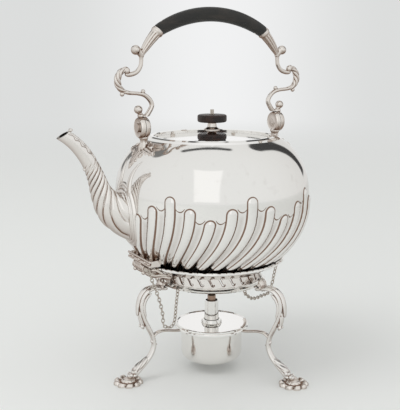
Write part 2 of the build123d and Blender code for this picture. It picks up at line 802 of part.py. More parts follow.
burner_ring_inner = reservoir_radius + burner_fit
burner_ring = lathe([
    (burner_ring_inner, burner_ring_z),
    (burner_ring_radius - 0.6, burner_ring_z),
    (burner_ring_radius, burner_ring_z + 0.8),
    (burner_ring_radius, plate_z - 0.8),
    (burner_ring_radius - 0.6, plate_z),
    (burner_ring_inner, plate_z),
])
nodes["burner_ring"] = burner_ring
arm_z = burner_ring_z + burner_ring_height / 2
arm_span = leg_place(-9.4, 0.46)[0] - burner_ring_radius
burner_arm = largest(rod([
    (burner_ring_radius + arm_span, arm_z - 1.9, 1.5, 2.6),
    (burner_ring_radius + arm_span * 0.85, arm_z + 1.6, 1.4, 2.6),
    (burner_ring_radius + arm_span * 0.60, arm_z + 2.6, 1.3, 2.5),
    (burner_ring_radius + arm_span * 0.29, arm_z + 1.2, 1.3, 2.5),
    (burner_ring_radius - 1.6, arm_z, 1.2, 2.5),
]) - burner_ring - leg)

for name, angle in zip(leg_names, leg_angles):
    nodes["leg_" + name] = turn(leg, angle)
    nodes["foot_" + name] = turn(foot, angle)
    nodes["leg_ornament_" + name] = largest(turn(ornament, angle) - nodes["stand_hinge_brackets"])
    nodes["burner_arm_" + name] = turn(burner_arm, angle)


# Spirit burner

corner = reservoir_corner
inner_wall = reservoir_radius - reservoir_wall
floor_z = reservoir_bottom_z + reservoir_wall
reservoir_edges = Curve() + [
    Line((0, reservoir_bottom_z), (reservoir_radius - corner, reservoir_bottom_z)),
    RadiusArc(
        (reservoir_radius - corner, reservoir_bottom_z),
        (reservoir_radius, reservoir_bottom_z + corner),
        -corner,
    ),
    Line((reservoir_radius, reservoir_bottom_z + corner), (reservoir_radius, plate_z)),
    Line((reservoir_radius, plate_z), (inner_wall, plate_z)),
    Line((inner_wall, plate_z), (inner_wall, reservoir_bottom_z + corner)),
    RadiusArc(
        (inner_wall, reservoir_bottom_z + corner),
        (reservoir_radius - corner, floor_z),
        corner - reservoir_wall,
    ),
    Line((reservoir_radius - corner, floor_z), (0, floor_z)),
    Line((0, floor_z), (0, reservoir_bottom_z)),
]
nodes["burner_reservoir"] = revolve(Plane.XZ * make_face(reservoir_edges), Axis.Z)
plate = lathe([
    (neck_bore_radius, plate_z),
    (plate_radius - 0.5, plate_z),
    (plate_radius, plate_z + 0.6),
    (plate_radius - 0.2, plate_top_z + 0.5),
    (plate_radius - 1.2, plate_top_z + 0.8),
    (plate_radius - 2.0, plate_top_z),
    (neck_bore_radius, plate_top_z),
])
nodes["burner_plate"] = plate
neck_collar_inner = sleeve_radius + sleeve_gap
collar_floor_z = plate_top_z + collar_floor
nodes["burner_neck_collar"] = lathe([
    (neck_bore_radius, plate_top_z),
    (collar_radius - 0.6, plate_top_z),
    (collar_radius, plate_top_z + 0.8),
    (collar_radius - 0.4, plate_top_z + 2.2),
    (collar_radius - 1.0, plate_top_z + collar_height),
    (neck_collar_inner, plate_top_z + collar_height),
    (neck_collar_inner, collar_floor_z),
    (neck_bore_radius, collar_floor_z),
])
thumb_line = [
    (0.6, 0.2, 1.1, 2.0),
    (3.4, 3.0, 1.0, 2.4),
    (4.6, 6.8, 0.9, 2.4),
    (3.2, 10.2, 1.0, 2.0),
]
thumbpiece = rod([(plate_radius - 2.0 + x, plate_top_z + z, thick, wide) for x, z, thick, wide in thumb_line])
nodes["burner_thumbpiece"] = turn(thumbpiece - plate, leg_angles[1])

sleeve_top_z = collar_floor_z + sleeve_height
sleeve_floor_z = collar_floor_z + 1.5
wick_tube_top_z = sleeve_top_z + wick_tube_rise
wick_tube_bottom_z = wick_tube_top_z - wick_tube_depth
nodes["wick_sleeve"] = lathe([
    (wick_tube_radius, collar_floor_z),
    (sleeve_radius, collar_floor_z),
    (sleeve_radius - 0.3, sleeve_top_z),
    (sleeve_radius - 0.3 - sleeve_wall, sleeve_top_z),
    (sleeve_radius - sleeve_wall, sleeve_floor_z),
    (wick_tube_radius, sleeve_floor_z),
])
nodes["wick_tube"] = lathe([
    (wick_radius, wick_tube_bottom_z),
    (wick_tube_radius, wick_tube_bottom_z),
    (wick_tube_radius, wick_tube_top_z),
    (wick_radius, wick_tube_top_z),
])
nodes["wick"] = cylinder_up(wick_radius, wick_tube_bottom_z - wick_tail, wick_tube_top_z + wick_rise)


# Chains that keep the two pins: separate links along a hanging route, from a pin's ring to an eyelet

def roll_between(tangent, start, end):
    """The turn about the tangent, in degrees, that carries one direction towards another."""
    across = end - tangent * end.dot(tangent)
    return degrees(atan2(start.cross(across).dot(tangent), start.dot(across)))


link_straight = (link_length - link_width) / 2
link_half = link_width / 2 - wire_radius
link_outline = Curve() + [
    Line((-link_straight, link_half), (link_straight, link_half)),
    ThreePointArc((link_straight, link_half), (link_straight + link_half, 0), (link_straight, -link_half)),
    Line((link_straight, -link_half), (-link_straight, -link_half)),
    ThreePointArc((-link_straight, -link_half), (-link_straight - link_half, 0), (-link_straight, link_half)),
]
link_section = Plane(origin=(0, link_half, 0), z_dir=(1, 0, 0)) * Circle(wire_radius)
link = sweep(link_section, link_outline.wires()[0])


def chain(start, end, drops, start_normal, end_normal):
    """Oval links on a route from start to end. A drop is a share of the way and a depth under the straight line."""
    points = [start]
    for share, depth in drops:
        points.append(start + (end - start) * share - Vector(0, 0, depth))
    points.append(end)
    route = Spline(*points, tangents=[(0, 0, -1), (0, 0, 1)])
    count = round(route.length / link_pitch)
    across = Vector(start.Y - end.Y, end.X - start.X, 0).normalized()
    joins = [route.position_at(k / count) for k in range(count + 1)]
    places = []
    for near, far in zip(joins, joins[1:]):
        tangent = (far - near).normalized()
        places.append(((near + far) / 2, tangent, tangent.cross(across).normalized()))
    first_roll = roll_between(places[0][1], places[0][2], start_normal)
    last_roll = roll_between(places[-1][1], places[-1][2], end_normal) - 90 * ((count - 1) % 2)
    twist = (last_roll - first_roll + 90) % 180 - 90
    links = []
    for k, (place, tangent, side) in enumerate(places):
        roll = first_roll + twist * k / (count - 1) + 90 * (k % 2)
        plane = Plane(origin=place, x_dir=tangent, z_dir=side)
        links += (plane * Rot(roll, 0, 0) * link).solids()
    return Compound(children=links)


def outward(angle):
    """The level direction away from the upright axis at an angle."""
    return Vector(cos(radians(angle)), sin(radians(angle)), 0)


def eyelet(angle):
    """A small ring under the base ring that holds the end of a chain."""
    ring = Pos(eyelet_reach, 0, eyelet_z) * Rot(90, 0, 0) * Torus(eyelet_radius, eyelet_wire)
    return turn(ring - base_ring, angle).solids()


eyelet_reach = base_ring_radius - eyelet_inset
eyelet_z = base_ring_bottom_z - 1.4
nodes["chain_eyelets"] = Compound(children=eyelet(front_eye_angle) + eyelet(rear_eye_angle))
link_reach = link_length / 2 - wire_radius - link_pitch / 2
pin_ring_hang = pin_ring_radius - pin_ring_wire - wire_radius - link_play + link_reach
eyelet_hang = eyelet_radius - eyelet_wire - wire_radius - link_play + link_reach
nodes["front_chain"] = chain(
    Vector(-hinge_reach, pin_ring_y(hinge_head_y), hinge_z - pin_ring_hang),
    outward(front_eye_angle) * eyelet_reach + Vector(0, 0, eyelet_z - eyelet_hang),
    [(0.13, 7.9), (0.33, 19.5), (0.46, 33.0), (0.47, 39.6), (0.52, 43.8), (0.75, 39.9), (0.88, 31.0), (0.95, 11.0)],
    Vector(0, 1, 0),
    outward(front_eye_angle),
)
nodes["rear_chain"] = chain(
    Vector(lug_reach, pin_ring_y(lock_head_y), lug_z - pin_ring_hang),
    outward(rear_eye_angle) * eyelet_reach + Vector(0, 0, eyelet_z - eyelet_hang),
    [(0.07, 8.0), (0.16, 19.0), (0.28, 23.5), (0.44, 20.5), (0.66, 16.3), (0.81, 11.5), (0.92, 5.5)],
    Vector(0, 1, 0),
    outward(rear_eye_angle),
)

for name, shape in nodes.items():
    nodes[name] = shape if isinstance(shape, (Solid, Compound)) else Part() + shape
boxes = [shape.bounding_box() for shape in nodes.values()]
kettle_axis_x = -(min(box.min.X for box in boxes) + max(box.max.X for box in boxes)) / 2
for name, shape in nodes.items():
    export_step(Pos(kettle_axis_x, 0, 0) * shape, f"parts/{name}.step")
print(len(nodes), "nodes; the kettle's axis is at x =", round(kettle_axis_x, 3))
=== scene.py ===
"""Silver tea kettle on a pierced ring stand with a spirit burner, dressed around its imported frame."""

from math import atan2, cos, degrees, hypot, pi, radians, sin, sqrt

import bmesh
import bpy
import numpy as np
from mathutils import Matrix, Vector
from mathutils.geometry import tessellate_polygon


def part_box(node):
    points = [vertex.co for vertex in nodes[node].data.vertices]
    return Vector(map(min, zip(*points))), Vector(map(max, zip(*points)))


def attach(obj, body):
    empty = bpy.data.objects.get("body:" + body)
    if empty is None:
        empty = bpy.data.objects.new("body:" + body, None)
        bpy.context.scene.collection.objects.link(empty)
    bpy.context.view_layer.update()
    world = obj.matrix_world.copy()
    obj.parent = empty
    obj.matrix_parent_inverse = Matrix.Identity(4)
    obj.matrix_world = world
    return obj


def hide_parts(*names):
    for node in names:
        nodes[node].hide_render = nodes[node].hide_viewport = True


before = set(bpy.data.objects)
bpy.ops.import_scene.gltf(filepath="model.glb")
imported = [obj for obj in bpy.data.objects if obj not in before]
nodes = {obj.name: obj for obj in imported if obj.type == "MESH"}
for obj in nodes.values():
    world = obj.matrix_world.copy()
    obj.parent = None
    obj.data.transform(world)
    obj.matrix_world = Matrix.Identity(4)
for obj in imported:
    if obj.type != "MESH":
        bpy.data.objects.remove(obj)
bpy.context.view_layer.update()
mm = 0.001
kettle_axis = Vector(((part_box("kettle_body")[0].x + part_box("kettle_body")[1].x) / 2 / mm, 0, 0))


# Studio: a pale paper floor that fades into a pale wall, inside a tent of soft light. A tall white panel beside the
# camera brightens the belly, and three dark strips overhead, where the tent has seams, give the polished silver
# its black edges. Each strip runs between two directions, given as seen from straight above. The camera stands
# 0.85 m away, 28 degrees round from the square view, and looks down a little.

paper_colour = (0.86, 0.87, 0.86, 1)
wall_colour = (0.715, 0.725, 0.72, 1)
wall_glow_colour = (0.88, 0.885, 0.89, 1)
tent_colour = (0.82, 0.825, 0.815, 1)
panel_colour = (0.97, 0.97, 0.96, 1)
lit_wall_colour = (0.98, 0.985, 0.99, 1)
glow_middle = 0.02
glow_half_width = 0.21
glow_near = 1.5
glow_far = 4.2
panel_turn = -145.0
panel_half_width = 0.225
panel_low = -0.08
panel_high = 0.79
tent_seams = (
    ((-0.24, 0.28), (0.24, 0.0), 0.020, (0.05, 0.05, 0.05, 1)),
    ((0.60, 0.10), (0.88, 0.45), 0.066, (0.06, 0.06, 0.06, 1)),
    ((0.00, 0.95), (-0.38, 0.54), 0.070, (0.20, 0.20, 0.195, 1)),
)
seam_edge = 0.035
floor_fade_start = 0.9
floor_fade_end = 3.2
camera_place = (-382.8, -685.9, 322.05)
camera_turn = -28.3
camera_dip = 10.92
camera_lens = 70.0


def link(tree, start, end):
    """Joins one node socket to another."""
    tree.links.new(start, end)


class Reading:
    """A number that changes over a surface. Plain arithmetic on it builds Math nodes in its tree."""

    def __init__(self, tree, socket):
        self.tree = tree
        self.socket = socket

    def work(self, kind, *others):
        """One Math node on this reading and up to two others."""
        node = self.tree.nodes.new("ShaderNodeMath")
        node.operation = kind
        for place, value in enumerate((self, *others)):
            if isinstance(value, Reading):
                link(self.tree, value.socket, node.inputs[place])
            else:
                node.inputs[place].default_value = value
        return Reading(self.tree, node.outputs[0])

    def __add__(self, other):
        return self.work("ADD", other)

    def __sub__(self, other):
        return self.work("SUBTRACT", other)

    def __mul__(self, other):
        return self.work("MULTIPLY", other)

    def __truediv__(self, other):
        return self.work("DIVIDE", other)

    def __pow__(self, other):
        return self.work("POWER", other)

    __radd__ = __add__
    __rmul__ = __mul__

    def flipped(self, top=1.0):
        """The top value less this reading."""
        return (self * -1.0) + top

    def root(self):
        return self.work("SQRT")

    def size(self):
        return self.work("ABSOLUTE")

    def whole(self):
        return self.work("ROUND")

    def lower(self, other):
        return self.work("MINIMUM", other)

    def higher(self, other):
        return self.work("MAXIMUM", other)

    def step(self, start, end):
        """0 up to the start value, 1 from the end value, and a smooth rise between them."""
        t = ((self - start) / (end - start)).higher(0.0).lower(1.0)
        return t * t * (t * -2.0 + 3.0)


def mix_colours(tree, share, first, second):
    """A colour between two others. Each may be a socket or a plain colour."""
    node = tree.nodes.new("ShaderNodeMix")
    node.data_type = "RGBA"
    link(tree, share, node.inputs["Factor"])
    for socket, value in ((node.inputs[6], first), (node.inputs[7], second)):
        if isinstance(value, tuple):
            socket.default_value = value
        else:
            link(tree, value, socket)
    return node.outputs[2]


def facing(tree, vector, towards):
    """The cosine between a direction and a fixed one."""
    dot = tree.nodes.new("ShaderNodeVectorMath")
    dot.operation = "DOT_PRODUCT"
    link(tree, vector, dot.inputs[0])
    dot.inputs[1].default_value = Vector(towards).normalized()
    return Reading(tree, dot.outputs["Value"])


world = bpy.data.worlds.new("studio_tent")
world.use_nodes = True
bpy.context.scene.world = world
tree = world.node_tree
background = tree.nodes["Background"]
rays = tree.nodes.new("ShaderNodeLightPath")
look = tree.nodes.new("ShaderNodeTexCoord").outputs["Generated"]
view_run = (sin(radians(-camera_turn)), cos(radians(-camera_turn)), 0)
view_side = (view_run[1], -view_run[0], 0)


def glow_across(side, run):
    """The glow behind the object: full in the middle of the view and gone at its sides."""
    return (side / run - glow_middle).size().step(glow_half_width, 0.0)


wall_glow = glow_across(facing(tree, look, view_side), facing(tree, look, view_run))
wall = mix_colours(tree, wall_glow.socket, wall_colour, wall_glow_colour)
panel_front = facing(tree, look, (sin(radians(panel_turn)), cos(radians(panel_turn)), 0)).step(0.0, 0.1)
panel_side = facing(tree, look, (cos(radians(panel_turn)), -sin(radians(panel_turn)), 0)).size()
height = facing(tree, look, (0, 0, 1))
panel = panel_front * panel_side.step(panel_half_width + 0.05, panel_half_width)
panel = panel * height.step(panel_low, panel_low + 0.06) * height.step(panel_high + 0.03, panel_high)
tent = mix_colours(tree, panel.socket, tent_colour, panel_colour)
lit_wall = wall_glow * facing(tree, look, view_run).step(0.0, 0.3)
tent = mix_colours(tree, lit_wall.socket, tent, lit_wall_colour)
east, north = facing(tree, look, (1, 0, 0)), facing(tree, look, (0, 1, 0))
for (start_x, start_y), (end_x, end_y), half_width, seam_colour in tent_seams:
    run_x, run_y = end_x - start_x, end_y - start_y
    run = (east - start_x) * run_x + (north - start_y) * run_y
    run = (run / (run_x * run_x + run_y * run_y)).higher(0.0).lower(1.0)
    off_x, off_y = east - start_x - run * run_x, north - start_y - run * run_y
    seam = (off_x * off_x + off_y * off_y).root().step(half_width + seam_edge, half_width) * height.step(0.0, 0.05)
    tent = mix_colours(tree, seam.socket, tent, seam_colour)
link(tree, mix_colours(tree, rays.outputs["Is Camera Ray"], tent, wall), background.inputs["Color"])

floor_mesh = bpy.data.meshes.new("paper_floor")
floor_mesh.from_pydata([(-9, -9, 0), (9, -9, 0), (9, 9, 0), (-9, 9, 0)], [], [(0, 1, 2, 3)])
floor = bpy.data.objects.new("paper_floor", floor_mesh)
bpy.context.scene.collection.objects.link(floor)
paper = bpy.data.materials.new("studio_paper")
paper.use_nodes = True
tree = paper.node_tree
matt = tree.nodes["Principled BSDF"]
matt.inputs["Base Color"].default_value = paper_colour
matt.inputs["Roughness"].default_value = 0.8
matt.inputs["Specular IOR Level"].default_value = 0.2
reach = tree.nodes.new("ShaderNodeVectorMath")
reach.operation = "LENGTH"
link(tree, tree.nodes.new("ShaderNodeTexCoord").outputs["Object"], reach.inputs[0])
far_away = Reading(tree, reach.outputs["Value"]).step(floor_fade_start, floor_fade_end)
spot = tree.nodes.new("ShaderNodeVectorMath")
spot.operation = "SUBTRACT"
link(tree, tree.nodes.new("ShaderNodeTexCoord").outputs["Object"], spot.inputs[0])
spot.inputs[1].default_value = (Vector(camera_place) + kettle_axis) * mm
away = facing(tree, spot.outputs[0], view_run)
floor_glow = glow_across(facing(tree, spot.outputs[0], view_side), away) * away.step(glow_near, glow_far)
glow = tree.nodes.new("ShaderNodeEmission")
rays = tree.nodes.new("ShaderNodeLightPath")
far_floor = mix_colours(tree, floor_glow.socket, wall_colour, wall_glow_colour)
link(tree, mix_colours(tree, rays.outputs["Is Camera Ray"], tent_colour, far_floor), glow.inputs["Color"])
fade = tree.nodes.new("ShaderNodeMixShader")
link(tree, far_away.socket, fade.inputs[0])
link(tree, matt.outputs[0], fade.inputs[1])
link(tree, glow.outputs[0], fade.inputs[2])
link(tree, fade.outputs[0], tree.nodes["Material Output"].inputs["Surface"])
floor_mesh.materials.append(paper)


def softbox(name, place, aim, size, power):
    """A square studio lamp that faces a point."""
    lamp = bpy.data.lights.new(name, "AREA")
    lamp.size = size
    lamp.energy = power
    holder = bpy.data.objects.new(name, lamp)
    holder.location = place
    holder.rotation_euler = (Vector(aim) - Vector(place)).to_track_quat("-Z", "Y").to_euler()
    holder.visible_glossy = False
    bpy.context.scene.collection.objects.link(holder)


softbox("top_lamp", (-1.1, -0.1, 1.7), (-0.2, 0, 0.0), 0.9, 7)

camera = bpy.data.objects.new("camera", bpy.data.cameras.new("camera"))
camera.data.lens = camera_lens
camera.location = (Vector(camera_place) + kettle_axis) * mm
camera.rotation_euler = (radians(90 - camera_dip), 0, radians(camera_turn))
bpy.context.scene.collection.objects.link(camera)
bpy.context.scene.camera = camera
bpy.context.scene.view_settings.view_transform = "Standard"


# Kettle body: raised from one sheet of silver, plain and mirror-polished above, chased below with lobes that
# stand out and flutes that sink in, turning as they run down. Their tops rise and fall in a wave of four lobes.

base_radius = 56.8
belly_radius = 97.0
shoulder_radius = 67.7
upper_power = 2.6
body_bottom_z = 111.6
belly_z = 174.0
body_top_z = 238.6
lobe_count = 32
lobe_height = 1.9
flute_depth = 1.1
lobe_share = 0.255
crown_middle = 184.5
crown_swing = 10.0
crown_phase = -142.0
lobe_swirl = 27.0
wall_thickness = 1.2
columns = lobe_count * 18

silver_colour = (0.935, 0.925, 0.905, 1)
chased_colour = (0.93, 0.905, 0.875, 1)
oxide_and_shade_colour = (0.23, 0.135, 0.09, 1)


def new_group(name, numbers=(), colours=(), out_numbers=(), out_colours=()):
    """An empty shader group with named inputs and outputs, and its input and output nodes."""
    group = bpy.data.node_groups.new(name, "ShaderNodeTree")
    for label in numbers:
        group.interface.new_socket(label, in_out="INPUT", socket_type="NodeSocketFloat")
    for label in colours:
        group.interface.new_socket(label, in_out="INPUT", socket_type="NodeSocketColor")
    for label in out_numbers:
        group.interface.new_socket(label, in_out="OUTPUT", socket_type="NodeSocketFloat")
    for label in out_colours:
        group.interface.new_socket(label, in_out="OUTPUT", socket_type="NodeSocketColor")
    return group, group.nodes.new("NodeGroupInput"), group.nodes.new("NodeGroupOutput")


def noise(tree, scale, detail=3.0, where=None):
    """Cloudy noise from 0 to 1 on the piece's own coordinates, with features about one scale-th of a metre wide."""
    texture = tree.nodes.new("ShaderNodeTexNoise")
    texture.inputs["Scale"].default_value = scale
    texture.inputs["Detail"].default_value = detail
    where = where or tree.nodes.new("ShaderNodeTexCoord").outputs["Object"]
    link(tree, where, texture.inputs["Vector"])
    return Reading(tree, texture.outputs["Fac"])


silver_wear, given, gives = new_group(
    "silver_wear", ("Relief", "Tarnish", "Gloss"), ("Metal", "Oxide"), ("Roughness", "Height"), ("Colour",)
)
relief = Reading(silver_wear, given.outputs["Relief"])
cloud = noise(silver_wear, 90.0, 4.0)
speck = noise(silver_wear, 900.0, 2.0)
line = relief.step(0.42, 1.0) * (cloud * 0.5 + 0.72) + relief.higher(0.0) * 0.14
dirt = line * Reading(silver_wear, given.outputs["Tarnish"])
dirt = (dirt + (cloud - 0.62).higher(0.0) * Reading(silver_wear, given.outputs["Tarnish"]) * 0.5).lower(0.96)
link(
    silver_wear,
    mix_colours(silver_wear, dirt.socket, given.outputs["Metal"], given.outputs["Oxide"]),
    gives.inputs["Colour"],
)
rough = Reading(silver_wear, given.outputs["Gloss"]) * (cloud * 0.5 + 0.75) + dirt * 0.28
link(silver_wear, rough.socket, gives.inputs["Roughness"])
link(silver_wear, (noise(silver_wear, 38.0, 2.0) + speck * 0.02).socket, gives.inputs["Height"])


def silver(name, metal, tarnish, gloss, wave, find_relief=None, shade=0.0, underside_shade=0.0):
    """A silver finish: its clean colour, how much oxide lies in the hollows, its roughness and its hand-made wave.

    The hollows are read from the mesh, or worked out by a function that is given the material's tree. The shade is
    painted shade: how far the colour is darkened towards the oxide colour where the surface is seen edge on, in
    place of dark reflections there. The last argument is painted shade too: how far the colour is darkened on
    undersides.
    """
    material = bpy.data.materials.new(name)
    material.use_nodes = True
    tree = material.node_tree
    shader = tree.nodes["Principled BSDF"]
    shader.inputs["Metallic"].default_value = 1.0
    wear = tree.nodes.new("ShaderNodeGroup")
    wear.node_tree = silver_wear
    wear.inputs["Metal"].default_value = metal
    wear.inputs["Oxide"].default_value = oxide_and_shade_colour
    wear.inputs["Tarnish"].default_value = tarnish
    wear.inputs["Gloss"].default_value = gloss
    if find_relief:
        link(tree, find_relief(tree).socket, wear.inputs["Relief"])
    else:
        depth = tree.nodes.new("ShaderNodeAttribute")
        depth.attribute_name = "relief"
        link(tree, depth.outputs["Fac"], wear.inputs["Relief"])
    # Painted shade: the colour is darkened where the surface is seen edge on and on faces that turn downwards.
    turned_away = tree.nodes.new("ShaderNodeLayerWeight")
    turned_away.inputs["Blend"].default_value = 0.5
    axes = tree.nodes.new("ShaderNodeSeparateXYZ")
    link(tree, tree.nodes.new("ShaderNodeTexCoord").outputs["Normal"], axes.inputs[0])
    underside = Reading(tree, axes.outputs["Z"]).step(0.35, -0.75)
    darker = Reading(tree, turned_away.outputs["Facing"]) ** 1.6 * shade + underside * underside_shade
    link(
        tree,
        mix_colours(tree, darker.socket, wear.outputs["Colour"], oxide_and_shade_colour),
        shader.inputs["Base Color"],
    )
    link(tree, wear.outputs["Roughness"], shader.inputs["Roughness"])
    bump = tree.nodes.new("ShaderNodeBump")
    bump.inputs["Strength"].default_value = 1.0
    bump.inputs["Distance"].default_value = wave * mm
    link(tree, wear.outputs["Height"], bump.inputs["Height"])
    link(tree, bump.outputs["Normal"], shader.inputs["Normal"])
    return material


# The shade and the underside numbers below are painted shade, darkening the colour edge on and underneath.
polished_silver = silver("polished_silver", silver_colour, 0.15, 0.06, 0.02, shade=0.15)
chased_silver = silver("chased_silver", chased_colour, 1.0, 0.13, 0.05, shade=0.75, underside_shade=0.3)
for node in nodes.values():
    node.data.materials.clear()
    node.data.materials.append(polished_silver)


def mark_relief(mesh, rounds, full_depth):
    """Stores how far each point lies under the smoothed surface, so that oxide settles in the hollows."""
    count = len(mesh.vertices)
    places = np.empty(count * 3)
    normals = np.empty(count * 3)
    ends = np.empty(len(mesh.edges) * 2, int)
    mesh.vertices.foreach_get("co", places)
    mesh.vertices.foreach_get("normal", normals)
    mesh.edges.foreach_get("vertices", ends)
    places = places.reshape(-1, 3)
    near, far = ends[0::2], ends[1::2]
    neighbours = np.maximum(np.bincount(near, minlength=count) + np.bincount(far, minlength=count), 1)[:, None]
    soft = places.copy()
    for _ in range(rounds):
        sums = [np.bincount(near, soft[far, i], count) + np.bincount(far, soft[near, i], count) for i in range(3)]
        soft = np.stack(sums, 1) / neighbours
    depth = ((soft - places) * normals.reshape(-1, 3)).sum(1) / (full_depth * mm)
    layer = mesh.attributes.new("relief", "FLOAT", "POINT")
    layer.data.foreach_set("value", np.clip(depth, -1, 1))


def settle(piece, body, material, stands_for=(), crease=40, relief_rounds=10, relief_depth=0.35):
    """Moves a finished piece onto the kettle's axis, shades it, and sets it on its body in place of its CAD nodes."""
    mesh = piece.data
    mesh.transform(Matrix.Translation(kettle_axis * mm))
    mesh.shade_smooth()
    mesh.set_sharp_from_angle(angle=radians(crease))
    if relief_rounds:
        mark_relief(mesh, relief_rounds, relief_depth)
    mesh.materials.clear()
    mesh.materials.append(material)
    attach(piece, body)
    if stands_for:
        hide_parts(*stands_for)


def new_piece(name, points, faces):
    """One mesh object from points in millimetres."""
    mesh = bpy.data.meshes.new(name)
    mesh.from_pydata((np.array(points) * mm).tolist(), [], [tuple(face) for face in faces])
    piece = bpy.data.objects.new(name, mesh)
    bpy.context.scene.collection.objects.link(piece)
    return piece


def grid_faces(rows, around, first=0, closed=True):
    """Quads between rows of points that run round a shape."""
    faces = []
    for row in range(rows - 1):
        for k in range(around if closed else around - 1):
            a = first + row * around + k
            b = first + row * around + (k + 1) % around
            faces.append((a, b, b + around, a + around))
    return faces


lower_depth = (belly_z - body_bottom_z) / sqrt(1 - (base_radius / belly_radius) ** 2)
upper_height = (body_top_z - belly_z) / (1 - (shoulder_radius / belly_radius) ** 2) ** (1 / upper_power)


def belly_at(z):
    """Radius of the kettle's outside at a height."""
    if z <= belly_z:
        return belly_radius * sqrt(1 - ((belly_z - z) / lower_depth) ** 2)
    return belly_radius * sqrt(1 - ((z - belly_z) / upper_height) ** upper_power)


def plain_radius(z):
    """Radius of the sheet that the lobes stand on."""
    share = min(max((z - 150.0) / 52.0, 0.0), 1.0)
    foot = min(max((z - body_bottom_z) / 14.0, 0.0), 1.0)
    return belly_at(z) - lobe_height * (1 - share * share * (3 - 2 * share)) * foot


def kettle_sheet():
    """The kettle's wall as one closed shell: the outside from the base up to the mouth, then the inside down."""
    heights = [body_bottom_z + 1.6 * k for k in range(35)]
    heights += list(np.arange(heights[-1] + 0.8, 200.0, 0.62))
    heights += list(np.linspace(heights[-1] + 1.8, body_top_z, 18))
    outside = [(6.0, body_bottom_z), (24.0, body_bottom_z), (42.0, body_bottom_z)]
    outside += [(plain_radius(z), z) for z in heights]
    inside = [(shoulder_radius - 4.4, body_top_z - 0.6)]
    for z in np.linspace(body_top_z - 2.4, body_bottom_z + 1.4, 26):
        inside.append((plain_radius(z) - wall_thickness - (1.2 if z < 200 else 0.1), z))
    inside += [(24.0, body_bottom_z + 1.3), (6.0, body_bottom_z + 1.3)]
    profile = outside + inside
    angles = np.linspace(0, 2 * pi, columns, endpoint=False)
    points = [(0.0, 0.0, body_bottom_z)]
    for radius, z in profile:
        points += [(radius * cos(a), radius * sin(a), z) for a in angles]
    points.append((0.0, 0.0, body_bottom_z + 1.3))
    faces = grid_faces(len(profile), columns, 1)
    last = len(points) - 1
    for k in range(columns):
        m = (k + 1) % columns
        faces.append((0, 1 + m, 1 + k))
        faces.append((last, last - columns + k, last - columns + m))
    sheet = new_piece("kettle_body_chased", points, faces)
    outer = np.zeros(len(points))
    outer[: 1 + len(outside) * columns] = 1.0
    layer = sheet.data.attributes.new("outer", "FLOAT", "POINT")
    layer.data.foreach_set("value", outer)
    return sheet


def add_geometry_tree(name, sizes):
    """An empty Geometry Nodes tree with a geometry input, named number inputs and a Material input."""
    tree = bpy.data.node_groups.new(name, "GeometryNodeTree")
    tree.interface.new_socket("Geometry", in_out="INPUT", socket_type="NodeSocketGeometry")
    for label in sizes:
        tree.interface.new_socket(label, in_out="INPUT", socket_type="NodeSocketFloat")
    tree.interface.new_socket("Material", in_out="INPUT", socket_type="NodeSocketMaterial")
    tree.interface.new_socket("Geometry", in_out="OUTPUT", socket_type="NodeSocketGeometry")
    return tree, tree.nodes.new("NodeGroupInput"), tree.nodes.new("NodeGroupOutput")


def finish_tree(tree, given, gives, geometry):
    """Realizes the instances and sets the material, the last two steps of every Geometry Nodes tree here."""
    realize = tree.nodes.new("GeometryNodeRealizeInstances")
    paint = tree.nodes.new("GeometryNodeSetMaterial")
    link(tree, geometry, realize.inputs[0])
    link(tree, realize.outputs[0], paint.inputs["Geometry"])
    link(tree, given.outputs["Material"], paint.inputs["Material"])
    link(tree, paint.outputs[0], gives.inputs[0])


def run_tree(piece, tree, sizes, material):
    """Applies a Geometry Nodes tree to a piece and leaves one plain mesh."""
    modifier = piece.modifiers.new(tree.name, "NODES")
    modifier.node_group = tree
    for item in tree.interface.items_tree:
        if item.in_out == "INPUT" and item.name in sizes:
            modifier[item.identifier] = float(sizes[item.name])
        if item.in_out == "INPUT" and item.name == "Material":
            modifier[item.identifier] = material
    piece.update_tag()
    bpy.context.view_layer.update()
    seen = piece.evaluated_get(bpy.context.evaluated_depsgraph_get())
    mesh = bpy.data.meshes.new_from_object(seen)
    piece.modifiers.remove(modifier)
    old = piece.data
    piece.data = mesh
    bpy.data.meshes.remove(old) if isinstance(old, bpy.types.Mesh) else bpy.data.curves.remove(old)


lobe_sizes = {
    "Lobe Count": lobe_count,
    "Lobe Height": lobe_height,
    "Lobe Share": lobe_share,
    "Flute Depth": flute_depth,
    "Crown Middle": crown_middle,
    "Crown Swing": crown_swing,
    "Crown Phase": radians(crown_phase),
    "Swirl": radians(lobe_swirl),
}


